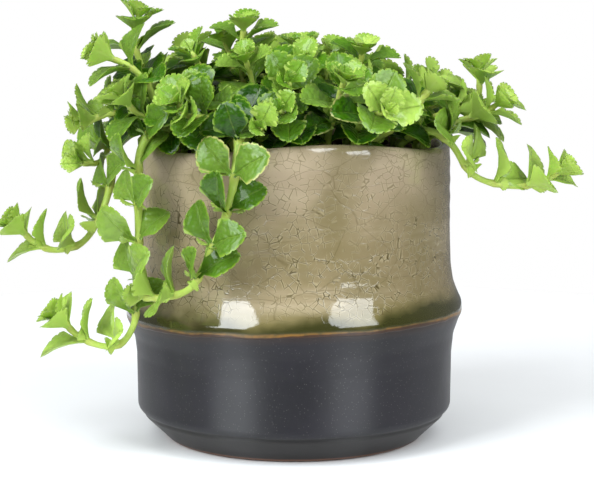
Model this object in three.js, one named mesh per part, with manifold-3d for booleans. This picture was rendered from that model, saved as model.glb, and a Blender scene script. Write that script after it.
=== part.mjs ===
// A potted pilea: a stoneware pot in two glazes, the soil that fills it, and a mound of leafy shoots.
// Millimetres, +Z up. The origin is the middle of the pot's flat underside, and the front is -Y.
import * as THREE from 'three';
import { mergeVertices } from 'three/addons/utils/BufferGeometryUtils.js';
import Module from 'manifold-3d';

// ---- Driving dimensions: pot and soil ----
const POT_SIDES = 36;            // facets round the pot
const UPPER_RADIUS = 53.9;       // outside of the paler upper wall
const POT_WALL = 5;
const POT_FLOOR = 6;
const RIM_HEIGHT = 104.8;        // mean height of the rim
const RIM_WAVE = 2;              // the soft three-lobed rim rises and dips by this
const RIM_TURN = 12;             // degrees from the front to the first lobe
const WAVE_START = 62;           // the wave grows from this height to the rim
const DENT_DEPTH = 0.8;          // soft upright dents below each lobe
const DENT_WIDTH = 7;            // degrees
const DENT_START = 48;           // the dents reach their depth over DENT_RISE above this height
const DENT_RISE = 24;
const BELT_HEIGHT = 44;          // the thick belt where the upper glaze ends
const BELT_SPREAD = 9;
const BELT_TILT = 1;             // the belt climbs by this to the front and to the right
const SOIL_TOP = 100;
const SEAT_GAP = 0.3;            // clearance between pieces that touch
const FOOT_DEPTH = 8;            // how deep the stems stand in the soil
const COLLAR_HEIGHT = 101;       // and they are straight up to here

// ---- Driving dimensions: shoots ----
const FILLERS = 34;              // shoots of the mound that are placed by rule
const GOLDEN_ANGLE = 137.508;    // degrees
const DOME_TOP = 142;            // height of the mound over the pot's axis
const DOME_SLOPE = 0.13;         // it falls by this share of the way to the right
const DOME_FALL = 28;            // and by this at DOME_REACH from the axis
const DOME_REACH = 62;
const DOME_EDGE = 120;           // it ends at this height
const DOME_DROP = 8;             // a tip lies below the dome by up to this
const STEM_SIDES = 4;
const STEM_TAPER = 0.4;          // share of its girth that a stem loses by its tip
const STEM_GAP = 4.2;            // between the middles of two stems
const ROUTE_STEP = 1.5;          // distance between two samples of a stem
const SPAN_STEPS = 12;           // steps of the spline between two of its points
const SKIN_DRIFT = 0.4;          // how far a stem's skin may stray from its route between two rings
const INTERNODE = 9;             // between two pairs of full-grown leaves
const TRAILING_INTERNODE = 12;   // the same on a shoot whose tip hangs below the rim
const BARE_SAMPLES = 8;          // no leaves below this sample

// ---- Driving dimensions: leaves ----
const LEAF_LENGTH = 16.5;        // a full-grown blade with its short stalk, from the stem's middle
const LEAF_WIDTH = 12.8;
const LEAF_THICKNESS = 1.3;      // fleshy blade, in its middle
const STALK_HALF = 0.09;         // half-width of the stalk as a share of the blade's
const WIDEST = 0.6;              // share of the length where the blade is widest
const NOTCH = 0.86;              // how far out the notches between two teeth reach
const BUD_SIZE = 0.62;           // size of the youngest pair, and what each older pair gains
const SIZE_GAIN = 0.19;
const BUD_OPENING = 34;          // degrees between the stem and the youngest pair, and the gain
const OPENING_GAIN = 17;
const FULL_OPENING = 80;
const LIGHT_LEAN = 0.65;         // the light that leaves face comes from above and by this share from outside
const LEAF_CLEARANCE = 2.3;      // between the sample points of two blades
const OWN_LEAF_GAP = 1.8;        // the same within one shoot
const STEM_CLEARANCE = 2.4;      // between a blade's sample points and another stem
const POT_CLEARANCE = 1.1;

// The pot's outside from the underside up, as [radius, height]: foot, undercut shoulder, dark body,
// belt, and the paler upper wall to the rim.
const POT_OUTSIDE = [
  [42.6, 0], [44.3, 0.5], [46.6, 2.8], [53.9, 9.8], [54.7, 12], [54.9, 30], [55.6, 36.5],
  [57.2, 40.8], [58.5, 43.6], [58.3, 47], [56.8, 50.5], [55.3, 54.8], [54.4, 61], [54, 72],
  [UPPER_RADIUS, 97], [53.2, 102.2], [52.2, 104.3],
];

// Shoots that show singly: the points that each stem passes above the soil, from foot to tip.
const TRAINED = [
  {
    name: 'shoot_tall_left',
    girth: 1.6,
    route: [
      [-35, -8, 104], [-43, -8, 114], [-49, -8, 123], [-53, -10, 133], [-54, -10, 139], [-53, -10, 145],
    ],
  },
  {
    name: 'shoot_left',
    girth: 1.5,
    route: [[-41, -18, 104], [-46, -23, 117], [-49, -27, 125], [-55, -29, 131], [-63, -30, 134]],
  },
  {
    name: 'shoot_top_fan',
    girth: 1.5,
    route: [[-15, -8, 104], [-17, -8, 121], [-18, -10, 133], [-17, -12, 142]],
  },
  {
    name: 'shoot_top_middle',
    girth: 1.4,
    route: [[2, -2, 104], [3, -4, 121], [2, -6, 135]],
  },
  {
    name: 'shoot_top_right',
    girth: 1.4,
    route: [[19, -4, 104], [22, -6, 121], [23, -10, 134]],
  },
  {
    name: 'shoot_bright_front',
    girth: 1.4,
    route: [[11, -34, 106], [13, -42, 116], [16, -50, 127]],
  },
  {
    name: 'shoot_thick_right',
    girth: 2,
    route: [[22, -27, 104], [29, -33, 108.5], [37, -36, 115], [44, -36, 123]],
  },
  {
    name: 'shoot_far_right',
    girth: 1.5,
    route: [[42, -6, 104], [55, -6, 109], [61, -6, 112], [63, -8, 119], [63, -8, 127]],
  },
  {
    name: 'shoot_trailing_right',
    girth: 1.5,
    route: [
      [36, -21, 104], [44, -26, 109], [52, -29, 105], [59, -29, 95], [69, -28, 91], [80, -28, 91],
      [88, -28, 95],
    ],
  },
  {
    name: 'shoot_front_left',
    girth: 1.4,
    route: [[-28, -34, 105], [-32, -42, 112], [-35, -48, 116], [-37, -52, 120]],
  },
  {
    name: 'shoot_low_left',
    girth: 1.4,
    route: [[-37, -23, 104], [-46, -31, 112], [-52, -36, 116], [-56, -37, 121]],
  },
  {
    name: 'shoot_out_left',
    girth: 1.5,
    route: [[-40, -12, 104], [-52, -16, 113], [-62, -19, 114], [-70, -20, 111]],
  },
  {
    name: 'shoot_drop_left',
    girth: 1.4,
    route: [[-38, 11, 104], [-51, 12, 112.5], [-61, 9, 107], [-67, 4, 96], [-73, 0, 95]],
  },
  {
    name: 'shoot_out_right',
    girth: 1.4,
    route: [[44, -13, 104], [54, -16, 111], [62, -18, 113], [68, -19, 117]],
  },
  {
    name: 'shoot_trailing_left',
    girth: 1.7,
    route: [
      [-40, 3, 104], [-50, -1, 112], [-59, -6, 105], [-63, -10, 88], [-67, -11, 77], [-73, -12, 69],
      [-82, -14, 67], [-89, -14, 70], [-94, -14, 75],
    ],
  },
  {
    name: 'shoot_trailing_low',
    girth: 1.7,
    route: [
      [-33, -28, 104], [-43, -37, 111.5], [-50, -42, 104], [-51, -41, 86], [-51, -41, 67], [-52, -40, 54],
      [-53, -41, 46], [-57, -42, 40], [-63, -42, 39], [-71, -41, 42], [-77, -41, 48],
    ],
  },
  {
    name: 'shoot_trailing_front',
    girth: 1.8,
    route: [
      [-15, -37, 104], [-17, -50, 112], [-18, -59, 104], [-20, -58, 91], [-23, -57, 81], [-28, -56, 70],
      [-33, -55, 61], [-41, -51, 57], [-49, -47, 56],
    ],
  },
];

// Turns about the stem and changes of opening, in degrees, that a leaf tries until it has room.
const TRIES = [[0, 0], [20, 0], [-20, 0], [0, -18], [0, 16], [38, 0], [-38, 0]];
// Turns about the pot's axis, in degrees, that the route of a shoot placed by rule tries.
const ROUTE_TURNS = [0, 9, -9, 18, -18, 27, -27];

const POT_INSIDE = UPPER_RADIUS - POT_WALL;
const DEGREE = Math.PI / 180;
const UP = new THREE.Vector3(0, 0, 1);

// ---- Plain helpers ----
const wasm = await Module();
wasm.setup();

function clamp01(x) {
  return Math.min(1, Math.max(0, x));
}

// The value read off a list of [value, key] pairs whose keys rise.
function readOff(pairs, key) {
  for (let i = 1; i < pairs.length; i += 1) {
    const [low, start] = pairs[i - 1];
    const [high, end] = pairs[i];
    if (key <= end) return low + clamp01((key - start) / (end - start)) * (high - low);
  }
  return pairs[pairs.length - 1][0];
}

function solidFrom(geometry) {
  const bare = geometry.clone();
  bare.deleteAttribute('normal');
  bare.deleteAttribute('uv');
  const merged = mergeVertices(bare, 1e-4);
  return new wasm.Manifold(new wasm.Mesh({
    numProp: 3,
    vertProperties: new Float32Array(merged.attributes.position.array),
    triVerts: new Uint32Array(merged.index.array),
  }));
}

function geometryFrom(solid) {
  const { vertProperties, triVerts } = solid.getMesh();
  const geometry = new THREE.BufferGeometry();
  geometry.setAttribute('position', new THREE.BufferAttribute(new Float32Array(vertProperties), 3));
  geometry.setIndex(new THREE.BufferAttribute(new Uint32Array(triVerts), 1));
  geometry.computeVertexNormals();
  return geometry;
}

// A solid from corner points and triangles that close on each other.
function closedSolid(points, triangles) {
  const geometry = new THREE.BufferGeometry().setFromPoints(points);
  geometry.setIndex(triangles.flat());
  return solidFrom(geometry);
}

// A profile of [radius, height] points turned about Z.
function turned(profile) {
  const points = profile.map(([radius, height]) => new THREE.Vector2(radius, height));
  return new THREE.LatheGeometry(points, POT_SIDES).rotateX(Math.PI / 2);
}

// One draw after another from 0 to 1, the same on every run.
let seed = 7351;
function draw() {
  seed = (Math.imul(seed, 1664525) + 1013904223) >>> 0;
  return seed / 4294967296;
}

// ---- Pot ----
// Angle round the pot in degrees, from the front towards +X.
function angleRound(x, y) {
  return Math.atan2(x, -y) / DEGREE;
}

function rimWaveAt(angle) {
  return RIM_WAVE * Math.cos(3 * (angle - RIM_TURN) * DEGREE);
}

// How deep the wall is pressed in at one place: three dents, one below each lobe of the rim.
function dentAt(angle, height) {
  const offLobe = (((angle - RIM_TURN) % 120) + 180) % 120 - 60;
  return DENT_DEPTH * Math.exp(-((offLobe / DENT_WIDTH) ** 2)) * clamp01((height - DENT_START) / DENT_RISE);
}

// Moves a turned wall to its hand-thrown shape: dents on every wall, the wave towards the rim and the
// belt's tilt on the pot.
function throwByHand(geometry, hasRim) {
  const position = geometry.attributes.position;
  for (let i = 0; i < position.count; i += 1) {
    const [x, y, z] = [position.getX(i), position.getY(i), position.getZ(i)];
    const radius = Math.hypot(x, y);
    const angle = angleRound(x, y);
    const shrink = 1 - dentAt(angle, z) / Math.max(1, radius);
    const wave = rimWaveAt(angle) * clamp01((z - WAVE_START) / (RIM_HEIGHT - WAVE_START)) ** 2;
    const tilt = BELT_TILT * (Math.cos(angle * DEGREE) + Math.sin(angle * DEGREE));
    const near = radius > POT_INSIDE + 1 ? Math.exp(-(((z - BELT_HEIGHT) / BELT_SPREAD) ** 2)) : 0;
    position.setXYZ(i, x * shrink, y * shrink, hasRim ? z + wave + tilt * near : z);
  }
  return geometry;
}

function makePot() {
  const profile = [
    [0, 0], ...POT_OUTSIDE,
    [51.2, RIM_HEIGHT], [50.1, RIM_HEIGHT - 0.6], [POT_INSIDE + 0.4, RIM_HEIGHT - 3],
    [POT_INSIDE, RIM_HEIGHT - 8], [POT_INSIDE, POT_FLOOR + 6], [POT_INSIDE - 4, POT_FLOOR + 1],
    [0, POT_FLOOR],
  ];
  return geometryFrom(solidFrom(throwByHand(turned(profile), true)));
}

// Whether a point keeps a margin to the pot and the soil: above the rim, outside the wall, or inside it
// above the soil. The outside takes half a millimetre more, for the belt's tilt.
function potLeavesRoom(point, margin) {
  const radius = Math.hypot(point.x, point.y);
  if (point.z > RIM_HEIGHT + rimWaveAt(angleRound(point.x, point.y)) + margin) return true;
  if (point.z < 4) return false;
  if (radius > readOff(POT_OUTSIDE, point.z) + margin + 0.5) return true;
  return radius < POT_INSIDE - margin - DENT_DEPTH && point.z > SOIL_TOP + margin;
}

// ---- Stem routes ----
// A smooth line through hand-chosen points (a uniform Catmull-Rom spline), sampled every ROUTE_STEP.
// Each sample keeps its place, its direction, and a sideways direction carried along without twist.
function traceRoute(points) {
  const spans = points.length - 1;
  const dense = [points[0].clone()];
  for (let span = 0; span < spans; span += 1) {
    const b = points[span];
    const c = points[span + 1];
    const a = span > 0 ? points[span - 1] : b.clone().multiplyScalar(2).sub(c);
    const d = span < spans - 1 ? points[span + 2] : c.clone().multiplyScalar(2).sub(b);
    for (let k = 1; k <= SPAN_STEPS; k += 1) {
      const t = k / SPAN_STEPS;
      const weights = [
        (-t + 2 * t ** 2 - t ** 3) / 2, (2 - 5 * t ** 2 + 3 * t ** 3) / 2,
        (t + 4 * t ** 2 - 3 * t ** 3) / 2, (t ** 3 - t ** 2) / 2,
      ];
      const place = new THREE.Vector3();
      [a, b, c, d].forEach((point, i) => place.addScaledVector(point, weights[i]));
      dense.push(place);
    }
  }
  const reach = [0];
  for (let i = 1; i < dense.length; i += 1) {
    reach.push(reach[i - 1] + dense[i].distanceTo(dense[i - 1]));
  }
  const length = reach[reach.length - 1];
  const count = Math.round(length / ROUTE_STEP);
  const places = [];
  let at = 1;
  for (let i = 0; i <= count; i += 1) {
    const target = (length * i) / count;
    while (at < dense.length - 1 && reach[at] < target) at += 1;
    const share = clamp01((target - reach[at - 1]) / (reach[at] - reach[at - 1]));
    places.push(dense[at - 1].clone().lerp(dense[at], share));
  }
  const ahead = places.map((place, i) => (
    places[Math.min(count, i + 1)].clone().sub(places[Math.max(0, i - 1)]).normalize()));
  const aside = [new THREE.Vector3(1, 0, 0)];
  for (let i = 1; i <= count; i += 1) {
    const side = aside[i - 1].clone();
    aside.push(side.addScaledVector(ahead[i], -side.dot(ahead[i])).normalize());
  }
  return { places, ahead, aside, count };
}

// One shoot of the mound: its foot is on a golden-angle spiral over the soil, and its tip further out on
// a dome that falls towards the right and the edge. The outermost lean over the rim.
function fillerShoot(index) {
  const reach = Math.sqrt((index + 0.6) / FILLERS);
  const angle = (index * GOLDEN_ANGLE + 14 * (draw() - 0.5)) * DEGREE;
  const foot = 5 + 37 * reach;
  const tip = foot * 1.16 + 15 * reach ** 2 + 7 * draw();
  const swing = angle + 0.3 * (draw() - 0.5);
  const tipX = tip * Math.cos(swing);
  const tipY = tip * Math.sin(swing);
  const dome = DOME_TOP - DOME_SLOPE * tipX - DOME_FALL * (tip / DOME_REACH) ** 2;
  const tipZ = Math.max(DOME_EDGE, dome) - DOME_DROP * draw();
  const footX = foot * Math.cos(angle);
  const footY = foot * Math.sin(angle);
  const bow = 0.3 + 0.25 * draw();
  const bowX = footX + bow * (tipX - footX);
  const bowY = footY + bow * (tipY - footY);
  return {
    name: `shoot_${String(index + 1).padStart(2, '0')}`,
    girth: 1.2 + 0.3 * draw(),
    route: [
      [footX, footY, SOIL_TOP + 4],
      [bowX, bowY, SOIL_TOP + 6 + 0.6 * (tipZ - SOIL_TOP - 4)],
      [tipX, tipY, tipZ],
    ],
  };
}

// A shoot's route, turned about the pot's axis, with its foot straight down in the soil.
function routeOf(shoot, turn) {
  const points = shoot.route.map((at) => new THREE.Vector3(...at).applyAxisAngle(UP, turn * DEGREE));
  const { x, y } = points[0];
  points.unshift(new THREE.Vector3(x, y, SOIL_TOP - FOOT_DEPTH), new THREE.Vector3(x, y, COLLAR_HEIGHT));
  return traceRoute(points);
}

function stemHasRoom(line, girth, laid) {
  const margin = girth + SEAT_GAP;
  const [foot] = line.places;
  return line.places.every((place) => (
    (place.distanceTo(foot) < FOOT_DEPTH + margin || potLeavesRoom(place, margin))
    && laid.every((other) => other.line.places.every((taken) => place.distanceTo(taken) >= STEM_GAP))));
}

// Lays every stem clear of the pot and of the stems before it. A shoot placed by rule is turned a little
// about the pot's axis until it is, or left out.
function layStems() {
  const laid = [];
  const planned = [...TRAINED];
  for (let i = 0; i < FILLERS; i += 1) planned.push(fillerShoot(i));
  planned.forEach((shoot, index) => {
    const isTrained = index < TRAINED.length;
    const lines = (isTrained ? [0] : ROUTE_TURNS).map((turn) => routeOf(shoot, turn));
    const line = lines.find((route) => stemHasRoom(route, shoot.girth, laid));
    if (line) laid.push({ ...shoot, line, phase: (index * 41) % 90, leaves: [] });
    else if (isTrained) throw new Error(`${shoot.name} has no room`);
  });
  return laid;
}

// ---- Leaves ----
// Half-width of a blade at a share u of its length, as a share of its greatest half-width: a narrow
// stalk, a wedge up to the widest place, and a round end.
function bladeHalf(u) {
  if (u < WIDEST) return STALK_HALF + (1 - STALK_HALF) * Math.sin((Math.PI / 2) * (u / WIDEST)) ** 1.7;
  return Math.sqrt(Math.max(0, 1 - ((u - WIDEST) / (1 - WIDEST)) ** 2));
}

// A point of a blade: u runs from the stem to the end, across from edge to edge in half-widths, and
// lift stands off the face. The blade bends back along an arc and cups up across.
function bladePoint(leaf, u, across, lift) {
  const turn = leaf.bend * u;
  const along = (leaf.length * Math.sin(turn)) / leaf.bend;
  const drop = (leaf.length * (1 - Math.cos(turn))) / leaf.bend;
  const half = (leaf.width / 2) * across;
  return leaf.root.clone()
    .addScaledVector(leaf.direction, along + lift * Math.sin(turn))
    .addScaledVector(leaf.face, leaf.cup * half * across - drop + lift * Math.cos(turn))
    .addScaledVector(leaf.side, half);
}

// Where a blade is tested for room: its end, and four rows of five points.
function bladeSamples(leaf) {
  const samples = [bladePoint(leaf, 1, 0, 0)];
  for (const u of [0.35, 0.55, 0.75, 0.93]) {
    for (const v of [-1, -0.5, 0, 0.5, 1]) samples.push(bladePoint(leaf, u, v * bladeHalf(u), 0));
  }
  return samples;
}

// The sample in the middle of the blade tells quickly which neighbours are too far away to matter.
const MIDDLE_SAMPLE = 8;

function hasRoom(leaf, stems, placed) {
  const { samples, shoot } = leaf;
  const middle = samples[MIDDLE_SAMPLE];
  if (!samples.every((point) => potLeavesRoom(point, POT_CLEARANCE))) return false;
  for (const other of stems) {
    if (other === shoot) continue;
    const near = other.line.places.filter((place) => middle.distanceTo(place) < 16);
    const touches = (place) => samples.some((point) => point.distanceTo(place) < STEM_CLEARANCE);
    if (near.some(touches)) return false;
  }
  const neighbours = placed.filter((other) => middle.distanceTo(other.samples[MIDDLE_SAMPLE]) < 20);
  return neighbours.every((other) => {
    const gap = other.shoot === shoot ? OWN_LEAF_GAP : LEAF_CLEARANCE;
    return samples.every((point) => other.samples.every((taken) => point.distanceTo(taken) >= gap));
  });
}

// One leaf at a sample of its stem. rank counts pairs from the tip: the youngest stand up round the bud,
// and the older ones open, bend back and turn their faces to the light, most of all on a leaning stem.
function leafAt(shoot, sample, rank, around, size, opening, wobble) {
  const { places, ahead, aside } = shoot.line;
  const stem = ahead[sample];
  const outwards = aside[sample].clone().applyAxisAngle(stem, around * DEGREE);
  const root = places[sample].clone();
  const light = new THREE.Vector3(root.x, root.y, 0).normalize().multiplyScalar(LIGHT_LEAN).add(UP);
  const direction = stem.clone().multiplyScalar(Math.cos(opening * DEGREE));
  direction.addScaledVector(outwards, Math.sin(opening * DEGREE));
  direction.addScaledVector(light, Math.min(0.35, 0.12 * rank) + 0.8 * clamp01(1 - stem.z)).normalize();
  const face = stem.clone().multiplyScalar(0.7).addScaledVector(light, rank > 1 ? 0.8 : 0.15);
  face.addScaledVector(direction, -face.dot(direction)).normalize();
  return {
    root,
    direction,
    face,
    side: direction.clone().cross(face),
    length: LEAF_LENGTH * size,
    width: LEAF_WIDTH * size,
    bend: 0.35 + 0.25 * Math.min(rank, 3) + 0.3 * wobble,
    cup: rank < 2 ? 0.28 : 0.12,
    rank,
    shoot,
  };
}

// Grows pairs of leaves from the tip down, each pair crosswise to the one before.
function growLeaves(shoot, stems, placed) {
  const [tip] = shoot.line.places.slice(-1);
  const internode = tip.z < RIM_HEIGHT ? TRAILING_INTERNODE : INTERNODE;
  let sample = shoot.line.count - 1;
  for (let rank = 0; sample > BARE_SAMPLES; rank += 1) {
    for (const half of [0, 180]) {
      const size = Math.min(1, BUD_SIZE + SIZE_GAIN * rank) * (0.9 + 0.2 * draw());
      const opening = Math.min(FULL_OPENING, BUD_OPENING + OPENING_GAIN * rank) + 12 * (draw() - 0.5);
      const around = shoot.phase + half + 90 * rank + 20 * (draw() - 0.5);
      const wobble = draw();
      for (const [turn, change] of TRIES) {
        const leaf = leafAt(shoot, sample, rank, around + turn, size, opening + change, wobble);
        leaf.samples = bladeSamples(leaf);
        if (hasRoom(leaf, stems, placed)) {
          shoot.leaves.push(leaf);
          placed.push(leaf);
          break;
        }
      }
    }
    sample -= Math.max(1, Math.round((internode / ROUTE_STEP) * Math.min(1, 0.3 + 0.3 * rank)));
  }
}

// A fleshy blade as a thin lens with a scalloped edge. Its edge has five rounded teeth, or three on the
// youngest and the lowest leaves, and its stalk starts in the middle of the stem.
function leafSolid(leaf) {
  const few = leaf.rank === 0 || leaf.rank > 2;
  const teeth = few ? 3 : 5;
  const halfSpread = few ? 40 : 25;
  const edge = [bladePoint(leaf, 0, 0, 0), bladePoint(leaf, 0.3, -0.42, 0)];
  for (let k = 1 - teeth; k <= teeth - 1; k += 1) {
    const angle = k * halfSpread * DEGREE;
    const out = Math.abs(k % 2) === 1 ? NOTCH : 1;
    edge.push(bladePoint(leaf, WIDEST + (1 - WIDEST) * out * Math.cos(angle), out * Math.sin(angle), 0));
  }
  edge.push(bladePoint(leaf, 0.3, 0.42, 0));
  const upper = edge.length;
  const lower = upper + 1;
  const middles = [1, -1].map((face) => bladePoint(leaf, 0.42, 0, (face * LEAF_THICKNESS) / 2));
  const triangles = [];
  for (let here = 0; here < edge.length; here += 1) {
    const next = (here + 1) % edge.length;
    triangles.push([upper, next, here], [lower, here, next]);
  }
  return closedSolid([...edge, ...middles], triangles);
}

// ---- Stems ----
// The samples where the skin gets a ring: the foot, the collar, and as few as keep it near the route.
function ringStops({ places, count }) {
  const collar = places.findIndex((place) => place.z > COLLAR_HEIGHT - ROUTE_STEP / 2);
  const stops = [0, collar];
  for (let i = collar + 2; i <= count; i += 1) {
    const last = stops[stops.length - 1];
    const chord = new THREE.Line3(places[last], places[i]);
    const strays = places.slice(last + 1, i).some((place) => (
      chord.closestPointToPoint(place, true, new THREE.Vector3()).distanceTo(place) > SKIN_DRIFT));
    if (strays) stops.push(i - 1);
  }
  stops.push(count);
  return stops;
}

// A tapering four-sided skin with flat ends.
function stemSolid(shoot) {
  const { places, ahead, aside, count } = shoot.line;
  const stops = ringStops(shoot.line);
  const points = [];
  for (const stop of stops) {
    const radius = shoot.girth * (1 - STEM_TAPER * (stop / count));
    for (let k = 0; k < STEM_SIDES; k += 1) {
      const turn = shoot.phase * DEGREE + (2 * Math.PI * (k + 0.5)) / STEM_SIDES;
      const corner = aside[stop].clone().applyAxisAngle(ahead[stop], turn);
      points.push(corner.multiplyScalar(radius).add(places[stop]));
    }
  }
  const triangles = [];
  for (let ring = 0; ring < stops.length - 1; ring += 1) {
    for (let k = 0; k < STEM_SIDES; k += 1) {
      const a = ring * STEM_SIDES + k;
      const b = ring * STEM_SIDES + ((k + 1) % STEM_SIDES);
      triangles.push([a, b, b + STEM_SIDES], [a, b + STEM_SIDES, a + STEM_SIDES]);
    }
  }
  const last = (stops.length - 1) * STEM_SIDES;
  for (let k = 1; k < STEM_SIDES - 1; k += 1) {
    triangles.push([0, k + 1, k], [last, last + k, last + k + 1]);
  }
  return closedSolid(points, triangles);
}

// One grown piece: the stem with all its leaves fused to it.
function shootGeometry(shoot) {
  return geometryFrom(shoot.leaves.reduce((body, leaf) => body.add(leafSolid(leaf)), stemSolid(shoot)));
}

// ---- Soil ----
// The soil fills the pot to just below its rim, and each stem stands in a plain hole.
function makeSoil(shoots) {
  const wall = POT_INSIDE - SEAT_GAP - 0.2;
  const bottom = POT_FLOOR + SEAT_GAP;
  const profile = [
    [0, bottom], [wall - 4.3, bottom + 1], [wall, bottom + 6], [wall, SOIL_TOP], [0, SOIL_TOP],
  ];
  let soil = solidFrom(throwByHand(turned(profile), false));
  for (const shoot of shoots) {
    const [foot] = shoot.line.places;
    const radius = (shoot.girth + SEAT_GAP) / Math.cos(Math.PI / STEM_SIDES);
    const depth = FOOT_DEPTH + SEAT_GAP;
    const hole = new THREE.CylinderGeometry(radius, radius, 2 * depth, STEM_SIDES).rotateX(Math.PI / 2);
    soil = soil.subtract(solidFrom(hole.translate(foot.x, foot.y, SOIL_TOP)));
  }
  return geometryFrom(soil);
}

// ---- The whole part ----
const stoneware = new THREE.MeshStandardMaterial({ color: '#8f8464', roughness: 0.3, metalness: 0 });
const earth = new THREE.MeshStandardMaterial({ color: '#3a2b1d', roughness: 0.95, metalness: 0 });
const foliage = new THREE.MeshStandardMaterial({ color: '#679033', roughness: 0.45, metalness: 0 });

function addMesh(group, name, geometry, material) {
  const mesh = new THREE.Mesh(geometry, material);
  mesh.name = name;
  group.add(mesh);
}

const plant = new THREE.Group();
const shoots = layStems();
const placed = [];
for (const shoot of shoots) growLeaves(shoot, shoots, placed);
addMesh(plant, 'pot', makePot(), stoneware);
addMesh(plant, 'soil', makeSoil(shoots), earth);
for (const shoot of shoots) addMesh(plant, shoot.name, shootGeometry(shoot), foliage);

export default plant;
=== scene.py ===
# %% [markdown]
# # A potted pilea
#
# The plant is a small creeping pilea: soft pale stems with pairs of fleshy, scalloped leaves, grown into a
# mound that spills over the rim of a hand-thrown pot. The CAD frame already holds every piece at its real
# size. This lesson replaces each one with a finer skin that keeps its form, and gives it a finish.
# Shapes are worked out in millimetres and divided by a thousand when they go into a mesh.

# %% Load the frame
import math

import bpy
import numpy as np
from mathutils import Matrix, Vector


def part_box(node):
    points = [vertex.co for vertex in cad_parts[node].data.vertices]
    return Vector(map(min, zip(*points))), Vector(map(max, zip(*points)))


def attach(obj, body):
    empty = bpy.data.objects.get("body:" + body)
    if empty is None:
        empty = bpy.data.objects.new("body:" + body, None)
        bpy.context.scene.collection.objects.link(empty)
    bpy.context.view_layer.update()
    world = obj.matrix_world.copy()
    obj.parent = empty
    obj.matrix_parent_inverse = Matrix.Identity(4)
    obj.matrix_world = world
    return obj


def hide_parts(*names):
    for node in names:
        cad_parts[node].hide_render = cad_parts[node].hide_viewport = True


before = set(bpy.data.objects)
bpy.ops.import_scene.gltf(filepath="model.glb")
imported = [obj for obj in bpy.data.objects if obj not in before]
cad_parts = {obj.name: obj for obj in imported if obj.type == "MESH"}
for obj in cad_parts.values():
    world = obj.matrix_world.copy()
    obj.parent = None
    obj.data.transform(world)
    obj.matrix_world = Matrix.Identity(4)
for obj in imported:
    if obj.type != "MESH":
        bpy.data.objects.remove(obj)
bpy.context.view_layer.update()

print("CAD nodes:", len(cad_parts))

# %% [markdown]
# ## Four small helpers
#
# Colours are written as sRGB hex, as a paint chart gives them, and turned to the linear values that the
# renderer adds up. One helper adds a shader node with its settings and links. One starts a material, and
# one puts arrays of points and faces into a mesh. Every other function in this lesson is about the pot or
# the plant.

# %% Colours and nodes
MM = 0.001


def paint(hex_colour):
    """sRGB hex to linear RGBA. A channel c is c / 12.92 up to 0.04045, else ((c + 0.055) / 1.055) ** 2.4."""
    c = np.array([int(hex_colour[i:i + 2], 16) / 255 for i in (1, 3, 5)])
    linear = np.where(c <= 0.04045, c / 12.92, ((c + 0.055) / 1.055) ** 2.4)
    return (*linear.tolist(), 1.0)


def add(tree, kind, inputs=(), output=0, feeds=None, **settings):
    """Adds one node and returns one of its outputs.

    settings are its properties, inputs maps a socket to a value or to a link, and feeds is a socket that
    the output is linked to.
    """
    made = tree.nodes.new("ShaderNode" + kind)
    for name, value in settings.items():
        setattr(made, name, value)
    for key, value in dict(inputs).items():
        if isinstance(value, bpy.types.NodeSocket):
            tree.links.new(value, made.inputs[key])
        else:
            made.inputs[key].default_value = value
    if feeds is not None:
        tree.links.new(made.outputs[output], feeds)
    return made.outputs[output]


SOFT = {"interpolation_type": "SMOOTHSTEP"}  # for a Map Range: ease in and out
COLOURS = {"data_type": "RGBA", "output": 2}  # for a Mix: sockets 6 and 7 are its two colours


# %% Finishes and pieces
def start_finish(name, **sockets):
    """A new material with one Principled shader. Underscores in a socket's name stand for spaces."""
    finish = bpy.data.materials.new(name)
    finish.use_nodes = True
    shader = finish.node_tree.nodes["Principled BSDF"]
    for key, value in sockets.items():
        shader.inputs[key.replace("_", " ")].default_value = value
    return finish, finish.node_tree, shader


def make_piece(name, points, faces, finishes, finish_of_face=None):
    """Puts points in mm and faces into a mesh in metres, shaded smooth, with its finishes."""
    mesh = bpy.data.meshes.new(name)
    mesh.from_pydata((np.asarray(points) * MM).tolist(), [], faces)
    for finish in finishes:
        mesh.materials.append(finish)
    if finish_of_face is not None:
        mesh.polygons.foreach_set("material_index", finish_of_face)
    mesh.shade_smooth()
    mesh.update()
    piece = bpy.data.objects.new(name, mesh)
    bpy.context.scene.collection.objects.link(piece)
    return piece


# %% [markdown]
# ## The camera
#
# The photograph looks slightly down on the pot from the front, through a long lens. The distance, tilt and
# focal length were found by laying the pot's outline over the picture until rim, belt and foot all agreed.

# %% Camera
CAMERA_DISTANCE = 750  # mm from the point that it looks at
CAMERA_TILT = 8.2  # degrees above level
LOOK_AT = np.array([1.0, 0.0, 67.9])
FOCAL_PIXELS = 2155.17  # focal length measured in pixels of the photograph
IMAGE_WIDTH = 594
SENSOR_WIDTH = 36  # mm

tilt = math.radians(CAMERA_TILT)
camera = bpy.data.objects.new("camera", bpy.data.cameras.new("camera"))
bpy.context.scene.collection.objects.link(camera)
camera.data.sensor_fit = "HORIZONTAL"
camera.data.sensor_width = SENSOR_WIDTH
camera.data.lens = FOCAL_PIXELS * SENSOR_WIDTH / IMAGE_WIDTH
camera.data.clip_start, camera.data.clip_end = 0.05, 50
camera.location = (LOOK_AT + CAMERA_DISTANCE * np.array([0, -math.cos(tilt), math.sin(tilt)])) * MM
camera.rotation_euler = (math.pi / 2 - tilt, 0, 0)
bpy.context.scene.camera = camera
print("focal length in mm:", round(camera.data.lens, 1))

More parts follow.
